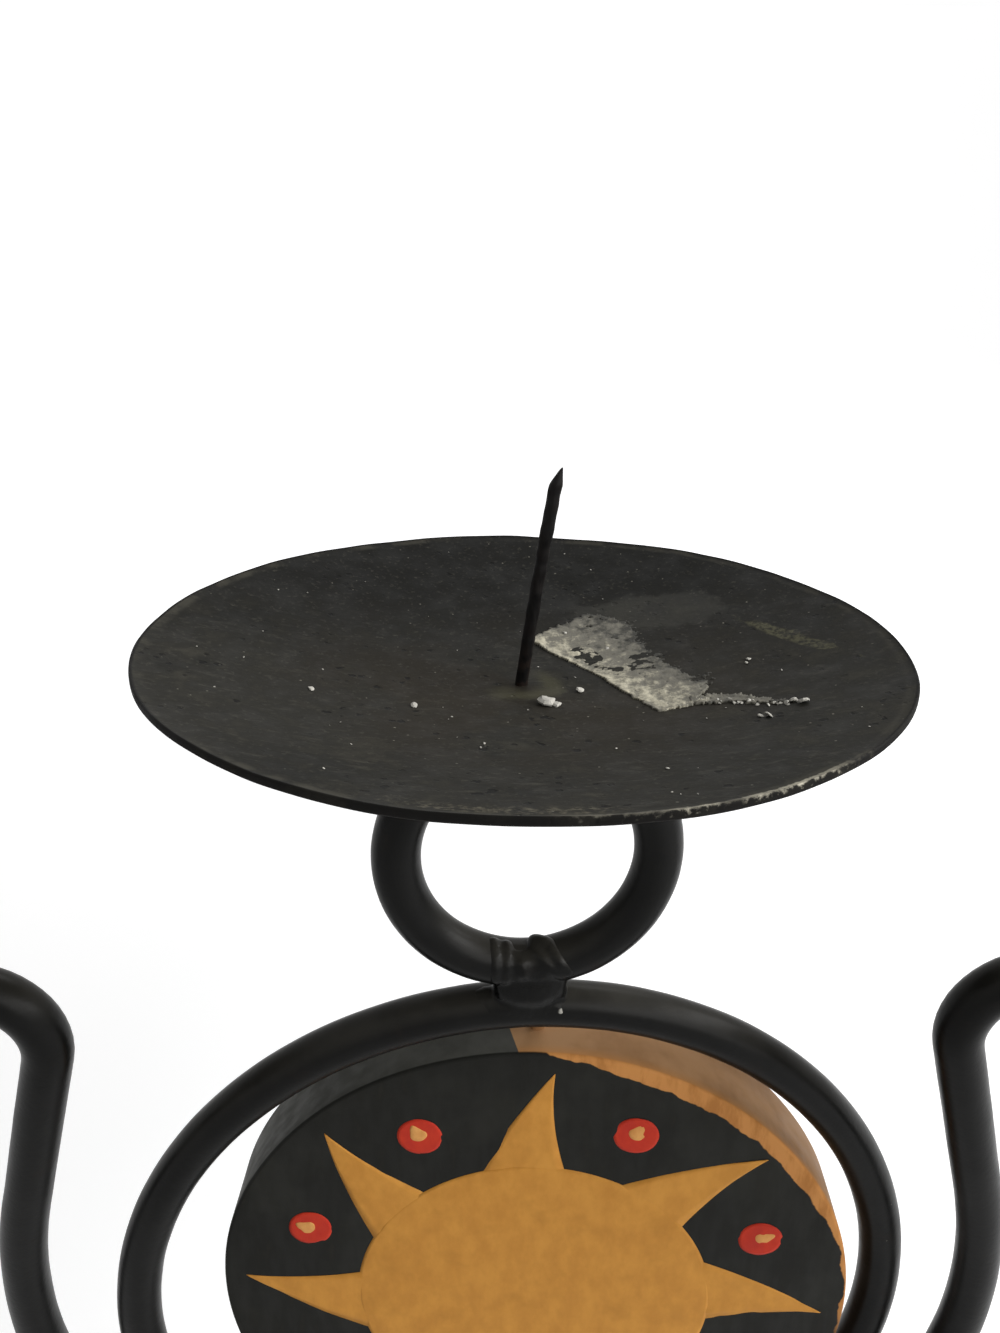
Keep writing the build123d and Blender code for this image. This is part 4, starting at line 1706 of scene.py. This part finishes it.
    def cradle(self) -> Mesh:
        """Melts the bead between the big ring and the arm bar.

        Returns:
            The weld's mesh.
        """
        middle = node_middle("cradle_weld")
        dice = random.Random(5)
        lumps = [Shapes.blob(Vector((middle.x, 0.0, middle.z)), (7.4, 3.6, 2.5))]
        half = self.cradle_half
        for k in range(self.cradle_beads):
            x = middle.x - half + 2 * half * k / (self.cradle_beads - 1)
            for side in (-1, 1):
                at = Vector((x, side * dice.uniform(2.6, 3.1), middle.z + dice.uniform(-0.5, 0.5)))
                lumps.append(Shapes.blob(at, (1.2, 1.3, dice.uniform(1.5, 2.1))))
        return Shapes.roughen(Shapes.melt("cradle_beads", lumps, 0.4, 3), 0.14, 1.4, 7.0)

    def collar(self, node: str, radius: float, fat: float, count: int) -> Mesh:
        """Melts a ring of beads round the post.

        Args:
            node: The frame's node.
            radius: Radius of the ring's middle line.
            fat: Half height of the beads.
            count: Half the number of beads.

        Returns:
            The collar's mesh.
        """
        middle = node_middle(node)
        dice = random.Random(count)
        lumps = []
        for k in range(2 * count):
            a = 2 * math.pi * k / (2 * count)
            size = fat * dice.uniform(0.78, 0.98)
            x, y = radius * math.cos(a), radius * math.sin(a)
            at = middle + Vector((x, y, dice.uniform(-0.12, 0.12) * fat))
            lumps.append(Shapes.blob(at, (size, size, size)))
        return Shapes.roughen(Shapes.melt(node + "_beads", lumps, 0.45, 3), 0.18, 1.8, count)

    def pin(self, node: str, side: int) -> Mesh:
        """Melts a pivot pin and its bead.

        Args:
            node: The frame's node.
            side: 1 for the upper pin, -1 for the lower.

        Returns:
            The pin's mesh.
        """
        low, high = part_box(node)
        x, y = (low.x + high.x) / (2 * MM), self.bar_r + self.pin_gap + self.pin_r
        foot, top = low.z / MM, high.z / MM
        wide, slim, ease = self.pin_r, self.pin_r - 0.3, 0.3
        profile = [(0.0, foot), (slim, foot), (wide, foot + ease)]
        profile += [(wide, top - ease), (slim, top), (0.0, top)]
        shank = Shapes.lathe(node, profile, 32)
        shank.transform(Matrix.Translation((x * MM, y * MM, 0.0)))
        outer = top if side > 0 else foot
        lumps = [shank]
        for dx, dz, size in self.pin_lumps:
            lumps.append(Shapes.blob(Vector((x + dx, y - 1.0, outer - side * dz)), (size, size * 0.9, size)))
        return Shapes.roughen(Shapes.melt(node, lumps, 0.3, 2), 0.06, 1.0, 2.0)


@dataclass
class SunDisc(SubAssembly):
    """Painted disc on the pivot pins."""

    body: Body = Body.DISC
    marks: Optional[MarkTree] = None
    radius: float = 60.3
    half: float = 7.35
    edge: float = 0.7
    turn_deg: float = -5.8
    sun_r: float = 34.0
    paint: float = 0.1
    sunk: float = 0.05
    rays: Sequence[float] = (0.0, 45.4, 89.0, 135.6, 181.0, 224.2, 270.8, 313.6)
    dots: Sequence[float] = (23.2, 68.0, 112.4, 157.0, 203.4, 247.0, 292.0, 332.7)
    dot_far: float = 45.7
    dot_r: float = 4.1
    core_r: float = 1.6
    core_out: float = 0.6
    core_lift: float = 0.08
    steps: int = 288
    wave: float = 0.0035
    wave_size: float = 22
    paint_most: float = 0.3

    @property
    def centre(self) -> Vector:
        """Middle of the disc, in millimetres."""
        return node_middle("sun_disc")

    @property
    def place(self) -> Matrix:
        """From the disc's own frame, in metres, to the stand's."""
        return Matrix.Translation(self.centre * MM) @ Matrix.Rotation(math.radians(self.turn_deg), 4, "Z")

    @property
    def face(self) -> Matrix:
        """From the frame of the disc's front face, in metres, to the stand's."""
        return self.place @ Matrix.Translation((0.0, -self.half * MM, 0.0))

    def build(self) -> list[Piece]:
        """Makes the disc and what is painted on its face.

        Returns:
            The five pieces.
        """
        turn = math.radians(self.turn_deg)
        wood = DiscPaint("disc_paint", tuple(self.centre * MM), turn, self.radius, self.half)
        gold = BrushPaint("ray_gold")
        red = BrushPaint("dot_red", srgb(178, 44, 30), srgb(196, 58, 36))
        core = BrushPaint("dot_gold", srgb(205, 140, 75), srgb(218, 160, 92), 1.0)
        rays = self.spread("sun_rays", self.ray(), self.rays, 0.0, gold, (0.5, 17.0))
        middle = self.middle()
        dots = self.spread("red_dots", self.drop(self.dot_r, 0.0), self.dots, self.dot_far, red, (0.5, 5.0))
        far = self.dot_far + self.core_out
        cores = self.spread("dot_cores", self.core(), self.dots, far, core, (0.4, 2.5))
        return [
            Piece("disc", self.disc(), wood, Slot.DISC, ["sun_disc"]),
            Piece("sun_rays", rays, gold),
            Piece("sun_middle", middle, gold),
            Piece("red_dots", dots, red),
            Piece("dot_cores", cores, core),
        ]

    def disc(self) -> Mesh:
        """Turns the disc, with eased edges and a rim that is not quite even.

        Returns:
            The disc's mesh.
        """
        e, r, h = self.edge, self.radius, self.half
        face = [k * (r - e) / 20 for k in range(21)]
        bow = [(r - e + e * math.sin(a), h - e + e * math.cos(a)) for a in (0.3, 0.6, 0.95, 1.25, 1.5708)]
        wall = [(r, h - e - (2 * h - 2 * e) * k / 8) for k in range(1, 8)]
        profile = [(x, h) for x in face] + bow + wall
        profile += [(x, -z) for x, z in bow[::-1]] + [(x, -h) for x in face[::-1]]
        mesh = Shapes.lathe("disc", profile, self.steps)
        for vert in mesh.vertices:
            far = math.hypot(vert.co.x, vert.co.y) / (r * MM)
            wave = self.wave * (noise.noise(vert.co / (self.wave_size * MM)) - 0.6) * far**6
            vert.co.x *= 1 + wave
            vert.co.y *= 1 + wave
        mesh.transform(self.place @ Matrix.Rotation(math.pi / 2, 4, "X"))
        mesh.update()
        return mesh

    def relief(self, name: str, grid: Sequence[Sequence[Flat]], thick: float) -> Mesh:
        """A closed skin of paint over a grid of places on the face.

        Args:
            name: Name of the mesh.
            grid: Rows of places, to the right and up, in millimetres.
            thick: Thickness in the middle, in millimetres.

        Returns:
            The mesh in the face's own frame, its back just below the face.
        """
        rows, cols = len(grid), len(grid[0])
        verts, faces = [], []
        for i, row in enumerate(grid):
            for j, (x, z) in enumerate(row):
                inner = min(i, rows - 1 - i, j, cols - 1 - j)
                verts.append((x * MM, -(thick if inner else 0.35 * thick) * MM, z * MM))
        verts += [(v[0], self.sunk * MM, v[2]) for v in verts]
        size = rows * cols
        for i in range(rows - 1):
            for j in range(cols - 1):
                a, b, c, d = i * cols + j, i * cols + j + 1, (i + 1) * cols + j + 1, (i + 1) * cols + j
                faces.append((a, b, c, d))
                faces.append((d + size, c + size, b + size, a + size))
        loop = list(range(cols)) + [i * cols + cols - 1 for i in range(1, rows)]
        loop += [(rows - 1) * cols + j for j in range(cols - 2, -1, -1)]
        loop += [i * cols for i in range(rows - 2, 0, -1)]
        for a, b in zip(loop, loop[1:] + loop[:1]):
            faces.append((a, a + size, b + size, b))
        return Shapes.mesh(name, verts, faces)

    def ray(self) -> Mesh:
        """One flame-shaped ray that points up, with a full left edge and a hollow right one.

        Returns:
            The ray's mesh in the face's own frame.
        """
        tip, left, right = Vector((3.3, 56.0)), Vector((-10.4, 31.6)), Vector((5.6, 32.2))
        full, hollow = Vector((-4.8, 45.0)), Vector((2.3, 45.0))
        grid = []
        for k in range(31):
            t = max(0.008, k / 30)
            start = tip * (1 - t) ** 2 + full * (2 * t * (1 - t)) + left * t**2
            end = tip * (1 - t) ** 2 + hollow * (2 * t * (1 - t)) + right * t**2
            grid.append([tuple(start.lerp(end, j / 8)) for j in range(9)])
        return self.relief("ray", grid, self.paint)

    def drop(self, radius: float, lift: float) -> Mesh:
        """One round drop of paint.

        Args:
            radius: Its radius in millimetres.
            lift: How far its edge stands off the face, in millimetres.

        Returns:
            The mesh about the origin, facing the front.
        """
        thick = self.paint + lift
        profile = [(0.0, thick + 0.04), (radius * 0.5, thick + 0.03)]
        profile += [(radius * 0.85, thick), (radius, thick * 0.4)]
        mesh = Shapes.lathe("drop", profile + [(radius, -self.sunk), (0.0, -self.sunk)], 48)
        mesh.transform(Matrix.Rotation(math.pi / 2, 4, "X"))
        return mesh

    def core(self) -> Mesh:
        """The gold drop in a dot's middle, drawn out to a blunt point.

        Returns:
            The mesh about the origin, facing the front.
        """
        mesh = self.drop(self.core_r, self.core_lift)
        for vert in mesh.vertices:
            up = max(0.0, vert.co.z / (self.core_r * MM))
            vert.co.x *= 1.0 - 0.35 * up
            vert.co.z *= 1.0 + 0.5 * up
        mesh.update()
        return mesh

    def spread(
        self, name: str, mark: Mesh, angles: Sequence[float], far: float, finish: Finish, stray: Flat
    ) -> Mesh:
        """Repeats a mark round the face.

        Args:
            name: Name of the mesh.
            mark: The mark; it is removed.
            angles: Where it stands, in degrees from the top to the right.
            far: Its distance from the disc's middle, in millimetres.
            finish: Its finish.
            stray: How far the brush strays and over what length, in millimetres.

        Returns:
            All the marks, in place.
        """
        spots = []
        for angle in angles:
            a = math.radians(angle)
            spots.append((Vector((far * math.sin(a), 0.0, far * math.cos(a))), Vector((0.0, a, 0.0)), 1.0))
        made = self.marks.marks(name, mark, spots, finish, stray)
        for vert in made.vertices:
            vert.co.y = max(-self.paint_most * MM, min(vert.co.y, self.sunk * MM))
        made.transform(self.face)
        return made

    def middle(self) -> Mesh:
        """The plain round sun in the middle.

        Returns:
            The mesh, in place.
        """
        r, t = self.sun_r, self.paint + 0.02
        profile = [(r * share, t) for share in (0.0, 0.4, 0.8, 0.98)]
        profile += [(r, 0.4 * t), (r, -self.sunk), (0.0, -self.sunk)]
        mesh = Shapes.lathe("sun_middle", profile, 160)
        mesh.transform(self.face @ Matrix.Rotation(math.pi / 2, 4, "X"))
        return mesh


@dataclass(frozen=True)
class PaleFloor(Finish):
    """Pale seamless paper that shows near white to the camera and keeps a soft shadow."""

    tone: Colour = (0.86, 0.86, 0.86, 1.0)
    near: float = 250.0
    far_off: float = 1300.0
    glow: Flat = (0.38, 0.85)
    shade: float = 0.985
    rough: float = 0.9

    def paint(self, bench: PaintBench, shader: Node) -> None:
        """Wires a matt paper and, for what the camera or a shiny bar sees, some light of its own far off.

        Args:
            bench: The material's wiring.
            shader: The shader.
        """
        at = bench.spot(Vector())
        x, y, _ = bench.axes(at)
        grain = bench.rise(bench.grain(at, 260.0, 2.0), 0.2, 0.8)
        tone = bench.coat(self.tone, tuple(self.shade * c for c in self.tone[:3]) + (1.0,), grain)
        glow = bench.rise(bench.far(x, y), self.near, self.far_off, self.glow)
        bench.tree.links.new(tone, shader.inputs["Base Color"])
        bench.tree.links.new(bench.times(bench.seen(), glow), shader.inputs["Emission Strength"])
        shader.inputs["Emission Color"].default_value = (1.0, 1.0, 1.0, 1.0)
        shader.inputs["Roughness"].default_value = self.rough
        shader.inputs["Specular IOR Level"].default_value = 0.0


class Lamp(NamedTuple):
    """A flat lamp: where it hangs and what it shines at in metres, its width and height, and its watts."""

    name: str
    at: Point
    to: Point
    size: Flat
    power: float


@dataclass
class Studio:
    """Floor, light and camera."""

    eye: Point = (-13.13, -150.58, 409.4)
    sight: Point = (0.0669, 0.9195, -0.3873)
    lens: float = 29.71
    sensor: float = 36.0
    clip: Flat = (0.005, 50.0)
    sky: Flat = (0.15, 1.0)
    lamps: Sequence[Lamp] = (
        Lamp("right_window", (1.22, -0.21, 0.96), (0.0, 0.0, 0.3), (1.3, 0.55), 22.5),
        Lamp("front_bank", (0.75, -1.25, 0.85), (0.0, 0.0, 0.25), (1.0, 0.8), 10.0),
        Lamp("overhead", (0.45, 0.85, 1.35), (0.0, 0.0, 0.3), (0.8, 0.45), 4.2),
    )

    def floor(self) -> None:
        """Rolls out the paper: flat under the stand, swept up far behind it."""
        width, front, back, sweep, height = 6.0, -4.0, 3.0, 1.5, 4.5
        line = [(front, 0.0), (back, 0.0)]
        angles = [0.26 * k for k in range(1, 7)]
        line += [(back + sweep * math.sin(a), sweep * (1 - math.cos(a))) for a in angles]
        line.append((back + sweep, height))
        verts = [(x, y, z) for y, z in line for x in (-width, width)]
        faces = [(2 * k, 2 * k + 1, 2 * k + 3, 2 * k + 2) for k in range(len(line) - 1)]
        mesh = Shapes.mesh("paper", verts, faces)
        mesh.materials.append(PaleFloor("pale_paper").material())
        obj = Shapes.host("paper", mesh)

    def lights(self) -> None:
        """Sets a window to the right, a bank in front and one behind from above, and an even sky."""
        for lamp in self.lamps:
            data = bpy.data.lights.new(lamp.name, "AREA")
            data.shape = "RECTANGLE"
            data.size, data.size_y = lamp.size
            data.energy = lamp.power
            obj = Shapes.host(lamp.name, data)
            obj.location = lamp.at
            obj.rotation_euler = (Vector(lamp.to) - Vector(lamp.at)).to_track_quat("-Z", "Y").to_euler()
        world = bpy.data.worlds.new("even_sky")
        bpy.context.scene.world = world
        world.use_nodes = True
        bench = PaintBench(world.node_tree)
        sky = world.node_tree.nodes["Background"]
        sky.inputs["Color"].default_value = (1.0, 1.0, 1.0, 1.0)
        world.node_tree.links.new(bench.rise(bench.seen(), 0.0, 1.0, self.sky), sky.inputs["Strength"])

    def camera(self) -> None:
        """Sets the camera where the photograph was taken from."""
        data = bpy.data.cameras.new("camera")
        data.lens, data.sensor_width = self.lens, self.sensor
        data.clip_start, data.clip_end = self.clip
        obj = Shapes.host("camera", data)
        obj.location = Vector(self.eye) * MM
        obj.rotation_euler = Vector(self.sight).to_track_quat("-Z", "Y").to_euler()
        bpy.context.scene.camera = obj

    def build(self) -> None:
        """Sets up floor, lights, camera and plain colour."""
        self.floor()
        self.lights()
        self.camera()
        bpy.context.scene.view_settings.view_transform = "Standard"


def main() -> None:
    """Builds the stand piece by piece, then the studio round it."""
    logging.basicConfig(level=logging.INFO, format="%(name)s: %(message)s")
    bars, marks = BarTree(), MarkTree()
    centre = DripPlate(place=Place.CENTRE, tip_deg=-1.2, roll_deg=1.0, lean_deg=9.1, seed=1.0)
    assemblies: list[SubAssembly] = [
        BarWork(tree=bars),
        Legs(tree=bars),
        Welds(),
        centre,
        DripPlate(place=Place.LEFT, seed=21.0),
        DripPlate(place=Place.RIGHT, seed=43.0),
        WaxLeavings(plate=centre, marks=marks),
        SunDisc(marks=marks),
    ]
    for assembly in assemblies:
        made = assembly.dress()
        LOG.info("%s: %d pieces", type(assembly).__name__, len(made))
    for tree in (bars, marks):
        bpy.data.node_groups.remove(tree.group)
    Studio().build()


if __name__ == "__main__":
    main()
